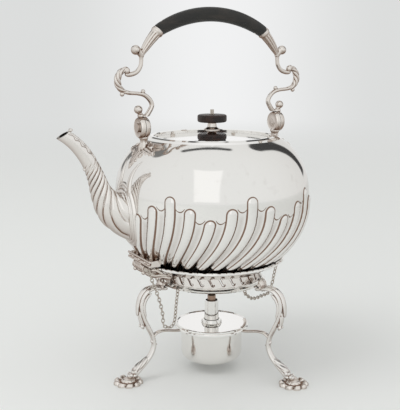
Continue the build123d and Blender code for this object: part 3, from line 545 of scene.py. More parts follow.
def lobe_pattern(x, y, z, size):
    """The swirl of lobes at a place in millimetres: each lobe's bulge, the flute's hollow and the edge between."""
    radius = (x * x + y * y).root()
    pitch = (size["Lobe Count"] / (2 * pi)) ** -1.0
    fall = ((z * -1.0 + crown_middle) / (crown_middle - body_bottom_z)).higher(0.0)
    turned = y.work("ARCTAN2", x) - size["Crown Phase"] - size["Swirl"] * -1.0 * (fall ** 2.3)
    count = turned / pitch
    lobe = count.whole()
    across = (count - lobe) * pitch * radius
    half_lobe = size["Lobe Share"] * pitch * radius
    next_lobe = lobe + (count - lobe).work("SIGN")
    top = (lobe * (pi / 2)).work("COSINE") * size["Crown Swing"] + size["Crown Middle"]
    next_top = (next_lobe * (pi / 2)).work("COSINE") * size["Crown Swing"] + size["Crown Middle"]
    cap = (z - top + half_lobe).higher(0.0)
    reach = (across * across + cap * cap).root() / half_lobe
    bulge = ((reach * reach).flipped().higher(0.0)) ** 0.62
    half_flute = (pitch * radius * 0.5 - half_lobe).higher(0.01)
    within = (pitch * radius * 0.5 - across.size()) / half_flute
    edge_top = top.lower(next_top) - 2.8 + (within * within).lower(1.0) * 3.2
    below_edge = edge_top - z
    sink = below_edge.step(0.0, 0.7) * 0.55 + below_edge.step(0.0, 7.0) * 0.45
    hollow = (within * within).flipped(1.15).higher(0.0) * sink * reach.step(0.98, 1.0)
    lobe_edge = ((reach - 1.03) * half_lobe).size().step(1.05, 0.15)
    flute_edge = (below_edge - 0.4).size().step(0.9, 0.1) * reach.step(1.0, 1.1)
    flute_edge = flute_edge * within.step(1.04, 0.98)
    return bulge, hollow, lobe_edge.higher(flute_edge)


tree, given, gives = add_geometry_tree("chased_lobes", lobe_sizes)
size = {label: Reading(tree, given.outputs[label]) for label in lobe_sizes}
axes = tree.nodes.new("ShaderNodeSeparateXYZ")
link(tree, tree.nodes.new("GeometryNodeInputPosition").outputs[0], axes.inputs[0])
x, y, z = (Reading(tree, axes.outputs[i]) * 1000.0 for i in range(3))
bulge, hollow, edge = lobe_pattern(x, y, z, size)
fade = z.step(body_bottom_z + 3.0, body_bottom_z + 16.0)
rise = (bulge * size["Lobe Height"] - hollow * size["Flute Depth"]) * fade
outer = tree.nodes.new("GeometryNodeInputNamedAttribute")
outer.inputs["Name"].default_value = "outer"
push = tree.nodes.new("ShaderNodeVectorMath")
push.operation = "SCALE"
link(tree, tree.nodes.new("GeometryNodeInputNormal").outputs[0], push.inputs[0])
link(tree, (rise * Reading(tree, outer.outputs["Attribute"]) * mm).socket, push.inputs["Scale"])
move = tree.nodes.new("GeometryNodeSetPosition")
link(tree, given.outputs["Geometry"], move.inputs["Geometry"])
link(tree, push.outputs[0], move.inputs["Offset"])
finish_tree(tree, given, gives, move.outputs[0])



def belly_hollows(tree):
    """Oxide on the belly: dark along the edge of every lobe, faint in the flutes, and thicker near the base."""
    axes = tree.nodes.new("ShaderNodeSeparateXYZ")
    link(tree, tree.nodes.new("ShaderNodeTexCoord").outputs["Object"], axes.inputs[0])
    x, y, z = (Reading(tree, axes.outputs[i]) * 1000.0 for i in range(3))
    bulge, hollow, edge = lobe_pattern(x - kettle_axis.x, y, z, lobe_sizes)
    low = z.step(125.0, body_bottom_z + 4.0)
    chased = z.step(196.0, 178.0) * 0.26
    return edge * (z.step(134.0, 150.0) * 0.2 + 0.8) + chased + hollow * 0.27 + low * (hollow * 0.08 + 0.05)


belly_colour = (0.935, 0.925, 0.905, 1)
# The 0.35 is painted shade where the belly is seen edge on.
belly_silver = silver("belly_silver", belly_colour, 0.95, 0.07, 0.08, belly_hollows, 0.35)
kettle_body = kettle_sheet()
run_tree(kettle_body, tree, lobe_sizes, belly_silver)


# Strainer: holes drilled through the belly where the spout covers it, so that tea leaves stay in the kettle.

spout_reach = 62.5
spout_rise = 74.6
spout_root_z = 170.0
spout_root_height = 29.0
spout_root_width = 21.0
strainer_hole_radius = 2.2
strainer_pitch = 7.0
hole_sides = 16


def drum(points, faces, radius, along, start, end, sides=hole_sides):
    """Adds a closed round bar between two places; the along function gives a point from its length and two sides."""
    first = len(points)
    for place in (start, end):
        for k in range(sides):
            a = 2 * pi * k / sides
            points.append(along(place, radius * cos(a), radius * sin(a)))
    faces += grid_faces(2, sides, first)
    faces.append(tuple(first + k for k in reversed(range(sides))))
    faces.append(tuple(first + sides + k for k in range(sides)))


def bake(piece, *modifiers):
    """Applies what modifiers a piece has and leaves one plain mesh."""
    piece.update_tag()
    bpy.context.view_layer.update()
    mesh = bpy.data.meshes.new_from_object(piece.evaluated_get(bpy.context.evaluated_depsgraph_get()))
    piece.modifiers.clear()
    old = piece.data
    piece.data = mesh
    bpy.data.meshes.remove(old)


points = []
faces = []
for row in range(-3, 4):
    for column in range(-2, 3):
        y = (column + 0.5 * (row % 2)) * strainer_pitch
        z = row * strainer_pitch * sqrt(3) / 2
        if (y / (spout_root_width - 6)) ** 2 + (z / (spout_root_height - 6)) ** 2 < 1:
            drum(points, faces, strainer_hole_radius, lambda x, a, b: (x, y + a, spout_root_z + z + b), -60, -110)
drills = new_piece("strainer_drills", points, faces)
cut = kettle_body.modifiers.new("strainer", "BOOLEAN")
cut.object = drills
cut.solver = "EXACT"
bake(kettle_body)
bpy.data.objects.remove(drills)
settle(kettle_body, "kettle", belly_silver, ("kettle_body",), relief_rounds=0)


# Spout: a swan-necked tube raised from sheet, lobed in a swirl up to half its length and plain towards the beak.
# A chased leaf lies along its back under the mouth.

spout_wall = 1.3
mouth_length = 14.1
mouth_rise = 8.0
spout_lobes = 8
spout_lobe_depth = 1.6
spout_around = 180
spout_rows = 150
spout_line = [
    (-0.208, 0.0, 0.0, spout_root_height, spout_root_width),
    (0.032, 0.040, 14.0, 21.5, 17.0),
    (0.216, 0.141, 42.0, 15.2, 13.2),
    (0.336, 0.322, 66.0, 10.4, 10.2),
    (0.413, 0.516, 68.0, 8.3, 8.3),
    (0.500, 0.690, 60.0, 7.4, 7.4),
    (0.608, 0.831, 53.0, 7.0, 7.0),
    (0.728, 0.945, 44.0, 6.6, 6.4),
    (0.864, 1.032, 33.0, 6.0, 5.4),
    (1.016, 1.099, 24.0, 5.2, 4.2),
]


def between(rows, share):
    """The row at a share of the way along a list of rows, on a smooth curve through all of them."""
    rows = np.array(rows, float)
    place = min(max(share, 0.0), 1.0) * (len(rows) - 1)
    k = min(int(place), len(rows) - 2)
    t = place - k
    b, c = rows[k], rows[k + 1]
    a = rows[k - 1] if k > 0 else 2 * b - c
    d = rows[k + 2] if k + 2 < len(rows) else 2 * c - b
    return 0.5 * (2 * b + (c - a) * t + (2 * a - 5 * b + 4 * c - d) * t * t + (3 * b - a - 3 * c + d) * t ** 3)


def rise_between(start, end, value):
    """0 below the start, 1 above the end, and a smooth rise between them."""
    t = min(max((value - start) / (end - start), 0.0), 1.0)
    return t * t * (3 - 2 * t)


def ditch(offset, width):
    """The depth of a chased line from 0 to 1 at a distance from its middle."""
    return 2.718 ** (-((offset / width) ** 2))


def spout_chasing(share, angle):
    """How far the spout's skin sinks, in millimetres, at a share of its length and an angle from its back."""
    beyond = max(share - 0.097, 0.0)
    phase = (angle - 170.0 * beyond - 1450.0 * beyond * beyond - 8.0) / 360.0 * spout_lobes
    off = abs(phase - round(phase)) * 2
    tip = 0.50 + 0.06 * (1 - off)
    fade = (1 - rise_between(tip - 0.05, tip + 0.01, share)) * (1 - 0.4 * share)
    back = abs((angle + 180) % 360 - 180)
    fade *= 1 - (1 - rise_between(24, 46, back)) * (1 - rise_between(0.24, 0.34, share))
    sink = spout_lobe_depth * fade * ditch(1 - off, 0.34)
    sink += 0.35 * ditch(share - tip, 0.012) * rise_between(0.0, 0.12, fade + 0.1)
    leaf = rise_between(0.50, 0.56, share) * (1 - rise_between(0.93, 0.97, share))
    half = 62 * sin(pi * min(max((share - 0.50) / 0.50, 0), 1)) ** 0.6 * (1 + 0.16 * sin(share * 80))
    for part in (0.0, 0.36, 0.68, 1.0):
        sink += 0.62 * leaf * ditch(back - half * part, 5.0)
    return sink


def spout_point(share, angle, inset):
    """A point on the spout at a share of its length and an angle from its back, moved in by the inset."""
    out, up, climb, high, wide = between(spout_line, share)
    a = radians(angle)
    sink = inset if inset else spout_chasing(share, angle)
    across = (wide - sink) * sin(a)
    over = (high - sink) * cos(a)
    c = radians(climb)
    x = -belly_radius - out * spout_reach + over * sin(c)
    return x, across, spout_root_z + up * spout_rise + over * cos(c)


def crossing(test, low, high):
    """Where a test along the spout turns from false to true."""
    for _ in range(26):
        middle = (low + high) / 2
        if test(middle):
            high = middle
        else:
            low = middle
    return high


beak = Vector((-belly_radius - spout_reach, 0, spout_root_z + spout_rise))
lip_line = Vector((mouth_length, 0, mouth_rise)).normalized()


def past_mouth(point):
    """Whether a point lies above the plane that the mouth is cut on."""
    return (Vector(point) - beak).cross(lip_line).y > 0


def out_of_belly(point):
    """Whether a point stands outside the kettle's wall."""
    return sqrt(point[0] ** 2 + point[1] ** 2) > belly_at(min(max(point[2], body_bottom_z), body_top_z)) - 1.0


points = []
for inset, shares in ((0.0, np.linspace(0, 1, spout_rows)), (spout_wall, np.linspace(1, 0, spout_rows // 3))):
    ends = []
    for k in range(spout_around):
        angle = 360 * k / spout_around
        root = crossing(lambda s: out_of_belly(spout_point(s, angle, inset)), 0.0, 0.3)
        ends.append((root, crossing(lambda s: past_mouth(spout_point(s, angle, inset)), 0.6, 1.0)))
    for share in shares:
        for k, (root, mouth) in enumerate(ends):
            points.append(spout_point(root + (mouth - root) * share, 360 * k / spout_around, inset))
rings = len(points) // spout_around
faces = grid_faces(rings, spout_around)
last = (rings - 1) * spout_around
for k in range(spout_around):
    m = (k + 1) % spout_around
    faces.append((last + k, last + m, m, k))


def ball(points, faces, centre, sizes, rows=12, around=18, lean=0.0):
    """Adds a closed ball or egg; the lean turns it about Y, in degrees."""
    first = len(points)
    c, s = cos(radians(lean)), sin(radians(lean))
    places = [(0, 0, -1)]
    for row in range(1, rows):
        a = pi * row / rows
        places += [(sin(a) * cos(2 * pi * k / around), sin(a) * sin(2 * pi * k / around), -cos(a)) for k in range(around)]
    places.append((0, 0, 1))
    for px, py, pz in places:
        px, py, pz = px * sizes[0], py * sizes[1], pz * sizes[2]
        points.append((centre[0] + px * c + pz * s, centre[1] + py, centre[2] - px * s + pz * c))
    faces += grid_faces(rows - 1, around, first + 1)
    end = len(points) - 1
    for k in range(around):
        m = (k + 1) % around
        faces.append((first, first + 1 + m, first + 1 + k))
        faces.append((end, end - around + k, end - around + m))


heel = beak + lip_line * (sqrt(mouth_length ** 2 + mouth_rise ** 2) - 0.4)
ball(points, faces, heel, (2.0, 2.6, 1.6), lean=-20)
ball(points, faces, spout_point(0.535, 180, 0.3), (1.7, 2.4, 1.4), lean=60)
spout = new_piece("spout_swirled", points, faces)
spout.data.validate()
settle(spout, "kettle", chased_silver, ("kettle_spout",), crease=60, relief_rounds=4, relief_depth=0.16)


# Spout plate: the moulded plate round the spout's root, soldered to the belly, with ridges that follow its edge.
# Two chased horns rise from it and curl over on the plain part of the belly.

plate_rim = 3.0
plate_around = 128
plate_steps = 44
plate_profile = [(0.62, 2.2), (0.76, 2.1), (0.79, 1.0), (0.84, 1.9), (0.88, 0.8), (0.93, 1.5), (0.965, 1.1), (1.0, -0.5)]
horn_line = [
    (-172.0, 190.0, 3.3),
    (-173.4, 198.0, 3.5),
    (-173.8, 206.0, 3.0),
    (-172.6, 213.0, 2.3),
    (-170.6, 218.4, 1.5),
    (-168.2, 222.0, 0.6),
]
horn_height = 1.9


def belly_point(angle, z, height):
    """A point over the belly at an angle in degrees, a level and a height above the skin."""
    radius = belly_at(z) + height
    return radius * cos(radians(angle)), radius * sin(radians(angle)), z


points = []
for height_of in (lambda s: float(np.interp(s, *zip(*plate_profile))), lambda s: -1.1):
    order = np.linspace(0.62, 1.0, plate_steps)
    if points:
        order = order[::-1]
    for share in order:
        for k in range(plate_around):
            a = 2 * pi * k / plate_around
            y = (spout_root_width + plate_rim) * share * cos(a)
            z = spout_root_z + (spout_root_height + plate_rim) * share * sin(a)
            radius = belly_at(z) + height_of(share)
            points.append((-sqrt(radius * radius - y * y), y, z))
rings = len(points) // plate_around
faces = grid_faces(rings, plate_around)
last = (rings - 1) * plate_around
for k in range(plate_around):
    m = (k + 1) % plate_around
    faces.append((last + k, last + m, m, k))
for side in (1, -1):
    first = len(points)
    for step in range(36):
        turn_at, z, wide = between(horn_line, step / 35)
        for k in range(12):
            a = 2 * pi * k / 12
            offset = degrees(wide * cos(a) / belly_at(z))
            angle = 180 + side * (180 + turn_at + offset)
            points.append(belly_point(angle, z, horn_height * wide / 3.5 * sin(a) - 0.1))
    faces += grid_faces(36, 12, first)
    faces.append(tuple(first + k for k in reversed(range(12))))
    faces.append(tuple(first + 35 * 12 + k for k in range(12)))
plate = new_piece("spout_plate_moulded", points, faces)


def face_out(piece):
    """Turns every closed shell's faces outwards."""
    work = bmesh.new()
    work.from_mesh(piece.data)
    bmesh.ops.recalc_face_normals(work, faces=work.faces)
    work.to_mesh(piece.data)
    work.free()


face_out(plate)
settle(plate, "kettle", chased_silver, ("spout_flare",), crease=60, relief_rounds=4, relief_depth=0.16)


# Handle posts: cast leaves that lap over the shoulder, a short neck, and the inner half of a drum that the swing
# handle turns against. Each is one casting, chased up afterwards and soldered to the kettle.

rim_z = 241.2
pivot_span = 75.0
pivot_z = rim_z + 10.3
drum_radius = 10.2
drum_half = 4.9
drum_gap = 0.25
pivot_pin_radius = 2.4
casting_grain = 0.34
post_leaves = [
    (0, 15.0, 6.4, 1.9),
    (52, 12.0, 4.6, 1.6),
    (-52, 12.0, 4.6, 1.6),
    (98, 25.0, 4.6, 1.8),
    (-98, 25.0, 4.6, 1.8),
    (140, 9.0, 4.0, 1.4),
    (-140, 9.0, 4.0, 1.4),
]


def rod(points, faces, stations, section, around=32, steps=10, flat_end=False):
    """Adds a closed tapering rod along stations of x, z, half thickness and half width in the XZ plane."""
    rows = [between(stations, k / ((len(stations) - 1) * steps)) for k in range((len(stations) - 1) * steps + 1)]
    first = len(points)
    last = len(rows) - 1
    for k, (x, z, thick, wide) in enumerate(rows):
        ahead, behind = rows[min(k + 1, last)], rows[max(k - 1, 0)]
        run = Vector((ahead[0] - behind[0], ahead[1] - behind[1])).normalized()
        near_end = (k if flat_end else min(k, last - k)) / (steps * 0.6)
        cap = sqrt(max(1 - (1 - min(near_end, 1.0)) ** 2, 0.02))
        for m in range(around):
            a = 2 * pi * m / around
            swell = cap * section(a, k / last)
            lift = thick * swell * sin(a)
            points.append((x - run.y * lift, wide * swell * cos(a), z + run.x * lift))
    faces += grid_faces(len(rows), around, first)
    faces.append(tuple(first + m for m in reversed(range(around))))
    faces.append(tuple(first + last * around + m for m in range(around)))


def plain(angle, share):
    """A rod's section with no chasing."""
    return 1.0


def creased(angle, share):
    """A rod's section with a raised rib between two chased lines, on its outer and its inner side."""
    return 1 - sum(0.17 * ditch(abs(sin(angle)) * 90 - 90 + off, 9) for off in (38, 62))


def turn_points(points, start, angle):
    """Turns the points from a place in the list about the kettle's axis."""
    c, s = cos(radians(angle)), sin(radians(angle))
    for k in range(start, len(points)):
        x, y, z = points[k]
        points[k] = (x * c - y * s, x * s + y * c, z)


def melt(piece, grain, rounds=3):
    """Melts overlapping closed shapes into one skin, as in a casting, and eases it."""
    face_out(piece)
    skin = piece.modifiers.new("melt", "REMESH")
    skin.mode = "VOXEL"
    skin.voxel_size = grain * mm
    ease = piece.modifiers.new("ease", "SMOOTH")
    ease.factor = 0.5
    ease.iterations = rounds
    bake(piece)


def shoulder_height(radius):
    """Level of the kettle's shoulder at a radius."""
    return belly_z + upper_height * (1 - (min(radius, belly_radius - 0.5) / belly_radius) ** 2) ** (1 / upper_power)


def shoulder_leaf(points, faces, side, heading, reach, wide, high):
    """Adds one veined leaf that lies on the shoulder and curls up at its tip."""
    first = len(points)
    across_steps, along_steps = 20, 34
    for layer in (1, 0):
        for k in range(along_steps + 1):
            share = k / along_steps
            half = wide * sin(pi * share ** 0.75) ** 0.7 * (1 + 0.16 * sin(share * 26)) + 0.05
            for m in range(across_steps + 1):
                v = (m / across_steps - 0.5) * 2 * (1 if layer else -1)
                bend = 0.18 * reach * share * share * (1 if heading > 0 else -1) * (abs(heading) > 90)
                x = share * reach
                y = v * half - bend
                h = radians(heading + (0 if side > 0 else 180))
                px = side * pivot_span + x * cos(h) - y * sin(h)
                py = x * sin(h) + y * cos(h)
                lift = high * (1 - 0.55 * v * v) - 0.75 * ditch(v, 0.13) - 0.5 * ditch(abs(v) - 0.55 + 0.1 * sin(share * 26), 0.1)
                lift = lift * (1 - 0.4 * share) + 1.5 * ditch(share - 0.93, 0.10) if layer else -0.7
                points.append((px, py, shoulder_height(sqrt(px * px + py * py)) + lift))
    row = across_steps + 1
    rows = 2 * (along_steps + 1)
    loop = list(range(first, first + (along_steps + 1) * row))
    for k in range(along_steps):
        for m in range(across_steps):
            a = first + k * row + m
            faces.append((a, a + row, a + row + 1, a + 1))
            b = a + (along_steps + 1) * row
            faces.append((b, b + row, b + row + 1, b + 1))
        a, b = first + k * row, first + (along_steps + 1 + k) * row
        faces.append((a, a + row, b + row + across_steps, b + across_steps))
        faces.append((a + across_steps, b, b + row, a + row + across_steps))
    for k in (0, along_steps):
        a, b = first + k * row, first + (along_steps + 1 + k) * row
        for m in range(across_steps):
            faces.append((a + m, a + m + 1, b + across_steps - m - 1, b + across_steps - m))


def half_drum(points, faces, start, end, face_is_end, bore):
    """Adds half a drum between two places along X, bored for the pivot, with a rim and a dished outer face."""
    outer_side = end if face_is_end else start
    way = 1 if face_is_end else -1
    profile = [
        (bore, start), (drum_radius - 0.5, start), (drum_radius, start + 0.5),
        (drum_radius, end - 0.5), (drum_radius - 0.5, end), (bore, end),
    ]
    low, high = min(start, end), max(start, end)
    inner, outer = (low, high) if face_is_end else (high, low)
    profile = [(bore, inner), (drum_radius - 0.45, inner), (drum_radius, inner + way * 0.5)]
    profile += [(drum_radius - 0.25, outer - way * 1.3), (drum_radius - 1.3, outer - way * 0.1)]
    profile += [(drum_radius - 2.3, outer - way * 0.65), (drum_radius - 5.5, outer - way * 0.15), (bore, outer)]
    first = len(points)
    sides = 72
    for radius, x in profile:
        for k in range(sides):
            a = 2 * pi * k / sides
            points.append((x, radius * cos(a), pivot_z + radius * sin(a)))
    faces += grid_faces(len(profile), sides, first)
    last = first + (len(profile) - 1) * sides
    for k in range(sides):
        m = (k + 1) % sides
        faces.append((last + k, last + m, first + m, first + k))


cast_colour = (0.88, 0.835, 0.79, 1)
# The castings get painted shade on their edges and undersides.
cast_silver = silver("cast_silver", cast_colour, 1.0, 0.11, 0.05, shade=1.1, underside_shade=0.65)

for name, side in (("spout_side", -1), ("rear", 1)):
    points = []
    faces = []
    for heading, reach, wide, high in post_leaves:
        shoulder_leaf(points, faces, side, heading, reach, wide, high)
    foot_z = shoulder_height(pivot_span)
    x = side * pivot_span
    neck = [(foot_z - 3.0, 7.2), (foot_z + 1.0, 6.6), (foot_z + 3.2, 5.2), (foot_z + 5.2, 4.2), (foot_z + 7.0, 4.4)]
    neck += [(foot_z + 8.4, 5.4), (pivot_z - drum_radius + 1.2, 5.6), (pivot_z - drum_radius + 3.4, 3.6)]
    first = len(points)
    for z, radius in neck:
        for k in range(40):
            a = 2 * pi * k / 40
            fluted = radius * (1 - 0.10 * ditch((a * 6 / pi) % 2 - 1, 0.4))
            points.append((x - side * 1.2 + fluted * 0.8 * cos(a), fluted * sin(a), z))
    faces += grid_faces(len(neck), 40, first)
    faces.append(tuple(first + k for k in reversed(range(40))))
    faces.append(tuple(first + (len(neck) - 1) * 40 + k for k in range(40)))
    for turn_at in (-1, 1):
        ball(points, faces, (x + side * 9.0, turn_at * 5.2, shoulder_height(86.0) + 1.2), (2.0, 2.0, 1.7))
        ball(points, faces, (x - side * 2.0, turn_at * 15.0, shoulder_height(75.0) + 1.0), (2.2, 2.2, 1.6))
    post = new_piece("handle_post_leafy_" + name, points, faces)
    melt(post, casting_grain)
    settle(post, "kettle", cast_silver, (), relief_rounds=5, relief_depth=0.07)
    points = []
    faces = []
    near = x - side * drum_gap / 2
    far = x - side * drum_half
    half_drum(points, faces, near, far, far > near, pivot_pin_radius + 0.1)
    drum_half_piece = new_piece("handle_drum_inner_" + name, points, faces)
    face_out(drum_half_piece)
    settle(drum_half_piece, "kettle", cast_silver, (), relief_rounds=0)
    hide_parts("handle_post_" + name)


# Swing handle: two cast scroll arms with leaf-wrapped bends, balls where the scrolls meet, the outer halves of the
# drums, and square-shouldered sockets that take the ends of an ebonised wooden grip.

grip_arc_radius = 112.0
grip_top_z = pivot_z + 112.3
grip_height = 13.8
grip_half_angle = 30.8
grip_centre_z = grip_top_z - grip_height / 2 - grip_arc_radius
grip_end_x = grip_arc_radius * sin(radians(grip_half_angle))
grip_end_z = grip_centre_z + grip_arc_radius * cos(radians(grip_half_angle))
lower_scroll = [
    (2.2, 0.098, 2.2, 3.0),
    (-1.7, 0.117, 2.5, 2.7),
    (-4.7, 0.176, 2.5, 2.7),
    (-5.9, 0.233, 2.4, 2.6),
    (-2.5, 0.291, 2.3, 2.4),
    (3.6, 0.338, 2.1, 2.3),
    (10.9, 0.356, 1.8, 2.2),
    (19.6, 0.365, 1.9, 2.3),
    (26.8, 0.392, 2.5, 2.8),
    (31.4, 0.443, 3.2, 3.3),
    (33.2, 0.510, 3.3, 3.3),
    (31.5, 0.575, 3.0, 3.0),
    (26.3, 0.606, 2.4, 2.6),
    (22.6, 0.578, 1.9, 2.2),
]
upper_scroll = [
    (26.8, 0.552, 1.9, 2.1),
    (21.0, 0.552, 2.2, 2.4),
    (15.2, 0.577, 2.2, 2.4),
    (12.4, 0.633, 2.1, 2.3),
    (12.5, 0.693, 2.0, 2.2),
    (13.1, 0.749, 2.4, 2.6),
    (10.4, 0.823, 3.9, 4.1),
    (5.7, 0.914, 5.0, 5.1),
    (0.0, 1.0, 5.9, 5.8),
]
curl_line = [(12.7, 0.715, 2.1, 2.3), (13.6, 0.750, 2.8, 2.9), (16.2, 0.780, 3.3, 3.3), (19.8, 0.802, 3.6, 3.8)]
drum_curl = [(-0.6, 0.105, 2.6, 3.0), (2.6, 0.120, 2.4, 2.8), (5.2, 0.150, 2.2, 2.6), (7.2, 0.185, 2.6, 3.2)]
arm_balls = [(19.8, 0.800, 4.5), (25.4, 0.588, 3.0), (5.5, 0.376, 2.1), (26.2, 0.352, 2.1), (7.3, 0.189, 4.0)]


def arm_place(side, bulge, share):
    """The x and z of a point on a handle arm: its bulge outside the line from drum to grip, and its share of it."""
    x = pivot_span + bulge + share * (grip_end_x - pivot_span)
    return side * x, pivot_z + share * (grip_end_z - pivot_z)


def leafy(angle, share):
    """A section with slanted leaf ribs where the scroll is thickest, and two long lines elsewhere."""
    wrapped = rise_between(0.50, 0.60, share) * (1 - rise_between(0.90, 0.97, share))
    ribs = ditch(((angle / pi * 4 + share * 26) % 2) - 1, 0.34)
    lines = sum(ditch(abs(sin(angle)) - level, 0.14) for level in (0.35, 0.80))
    return 1 - 0.26 * ribs * wrapped - 0.15 * lines * (1 - wrapped)


def socketed(angle, share):
    """A section with long chased panels and a raised band where the socket ends."""
    lines = sum(ditch(abs(sin(angle)) - level, 0.12) for level in (0.30, 0.86))
    band = 0.07 * ditch(share - 0.972, 0.012) - 0.07 * ditch(share - 0.945, 0.010)
    return 1 - 0.13 * lines * rise_between(0.1, 0.3, share) * (1 - rise_between(0.93, 0.95, share)) + band


for name, side in (("spout_side", -1), ("rear", 1)):
    points = []
    faces = []
    rod(points, faces, [(*arm_place(side, b, s), t, w) for b, s, t, w in lower_scroll], leafy)
    rod(points, faces, [(*arm_place(side, b, s), t, w) for b, s, t, w in upper_scroll], socketed, 40, flat_end=True)
    for stations in (curl_line, drum_curl):
        rod(points, faces, [(*arm_place(side, b, s), t, w) for b, s, t, w in stations], plain)
    for bulge, share, radius in arm_balls:
        ball_x, ball_z = arm_place(side, bulge, share)
        ball(points, faces, (ball_x, 0, ball_z), (radius, radius * 1.04, radius), rows=20, around=28)
    curl_x, curl_z = arm_place(side, 19.8, 0.800)
    for turn_at in (-1, 1):
        ball(points, faces, (curl_x, turn_at * 3.9, curl_z), (2.3, 1.3, 2.3))
        ball_x, ball_z = arm_place(side, 7.3, 0.189)
        ball(points, faces, (ball_x, turn_at * 3.5, ball_z), (2.0, 1.2, 2.0))
    cap_x, cap_z = arm_place(side, 2.2, 0.108)
    ball(points, faces, (side * (pivot_span + 1.9), 0, pivot_z + drum_radius + 0.9), (2.4, 4.6, 2.4))
    arm = new_piece("handle_arm_scrolled_" + name, points, faces)
    melt(arm, 0.32, 2)
    points = []
    faces = []
    near = side * (pivot_span + drum_gap / 2)
    drum(points, faces, drum_radius + 0.4, lambda x, a, b: (x, a, pivot_z + b), near, near - side * 12, 72)
    room = new_piece("room_" + name, points, faces)
    face_out(room)
    cut = arm.modifiers.new("room", "BOOLEAN")
    cut.object = room
    bake(arm)
    bpy.data.objects.remove(room)
    settle(arm, "handle", cast_silver, ("handle_arm_" + name,), relief_rounds=8, relief_depth=0.09)
    points = []
    faces = []
    far = side * (pivot_span + drum_half)
    half_drum(points, faces, near, far, far > near, pivot_pin_radius + 0.1)
    outer_half = new_piece("handle_drum_outer_" + name, points, faces)
    face_out(outer_half)
    settle(outer_half, "handle", cast_silver, (), relief_rounds=0)


# Ebonised wood: the grip and the finial's two discs are turned and carved pear wood, stained black and waxed.
# The brown of the wood shows through on worn edges, most of all on the finial's discs.

def dark_wood(name, stain, worn, grain_run, gloss):
    """Stained wood: its stain, the brown under it, the way its grain runs, and its polish."""
    material = bpy.data.materials.new(name)
    material.use_nodes = True
    tree = material.node_tree
    shader = tree.nodes["Principled BSDF"]
    shader.inputs["Specular IOR Level"].default_value = 0.45
    mapping = tree.nodes.new("ShaderNodeMapping")
    mapping.inputs["Scale"].default_value = grain_run
    link(tree, tree.nodes.new("ShaderNodeTexCoord").outputs["Object"], mapping.inputs["Vector"])
    grain = noise(tree, 260.0, 5.0, mapping.outputs["Vector"])
    patches = noise(tree, 60.0, 3.0)
    share = (grain.step(0.45, 0.75) * 0.55 + patches.step(0.45, 0.8) * 0.45).lower(1.0)
    link(tree, mix_colours(tree, share.socket, stain, worn), shader.inputs["Base Color"])
    link(tree, (grain * 0.16 + gloss).socket, shader.inputs["Roughness"])
    bump = tree.nodes.new("ShaderNodeBump")
    bump.inputs["Strength"].default_value = 0.6
    bump.inputs["Distance"].default_value = 0.12 * mm
    link(tree, grain.socket, bump.inputs["Height"])
    link(tree, bump.outputs["Normal"], shader.inputs["Normal"])
    return material


def refinish(slot, material, *names):
    """Gives CAD nodes a finish."""
    for name in names:
        nodes[name].data.materials.clear()
        nodes[name].data.materials.append(material)


grip_wood = dark_wood("grip_wood", (0.012, 0.012, 0.011, 1), (0.040, 0.032, 0.026, 1), (0.16, 1.0, 1.0), 0.36)
disc_wood = dark_wood("disc_wood", (0.012, 0.006, 0.005, 1), (0.075, 0.024, 0.014, 1), (0.3, 1.0, 1.0), 0.38)
refinish("dark_wood", grip_wood, "handle_grip")
refinish("dark_wood", disc_wood, "finial_lower_disc", "finial_upper_disc")


# Ring stand's gallery: a band pierced with a row of S curls, cut out with a saw, between the base ring and flange.

gallery_bottom_z = 98.0
gallery_height = 10.8
gallery_radius = 49.8
gallery_wall = 1.6
curl_count = 30
curl_outline = [
    (-2.9, 2.9, 0.45), (-2.2, 3.15, 0.95), (-1.3, 2.5, 1.25), (-0.6, 1.2, 1.10), (0.0, -0.1, 0.95),
    (0.7, -1.5, 1.05), (1.5, -2.6, 1.20), (2.4, -2.9, 1.05), (3.15, -2.2, 0.75), (3.3, -1.3, 0.35),
]
curl_steps = 24
curl_width = 0.55
curl_lip = 0.8
# Painted shade: the mark given to the band's inner face and the curls' walls turns them dark, so the piercings read
# dark.
curl_wall_shade = 1.6


def curl_edge(grow):
    """The outline of one curl, opened out by a little on both sides."""
    rows = [between(curl_outline, k / (curl_steps - 1)) for k in range(curl_steps)]
    left, right = [], []
    for k, (u, v, half) in enumerate(rows):
        ahead, behind = rows[min(k + 1, curl_steps - 1)], rows[max(k - 1, 0)]
        run = Vector((ahead[0] - behind[0], ahead[1] - behind[1])).normalized()
        wide = half * curl_width * min(1.0, 0.45 + min(k, curl_steps - 1 - k) * 0.3) + grow
        left.append((u - run.y * wide, v + run.x * wide))
        right.append((u + run.y * wide, v - run.x * wide))
    return left + right[::-1]


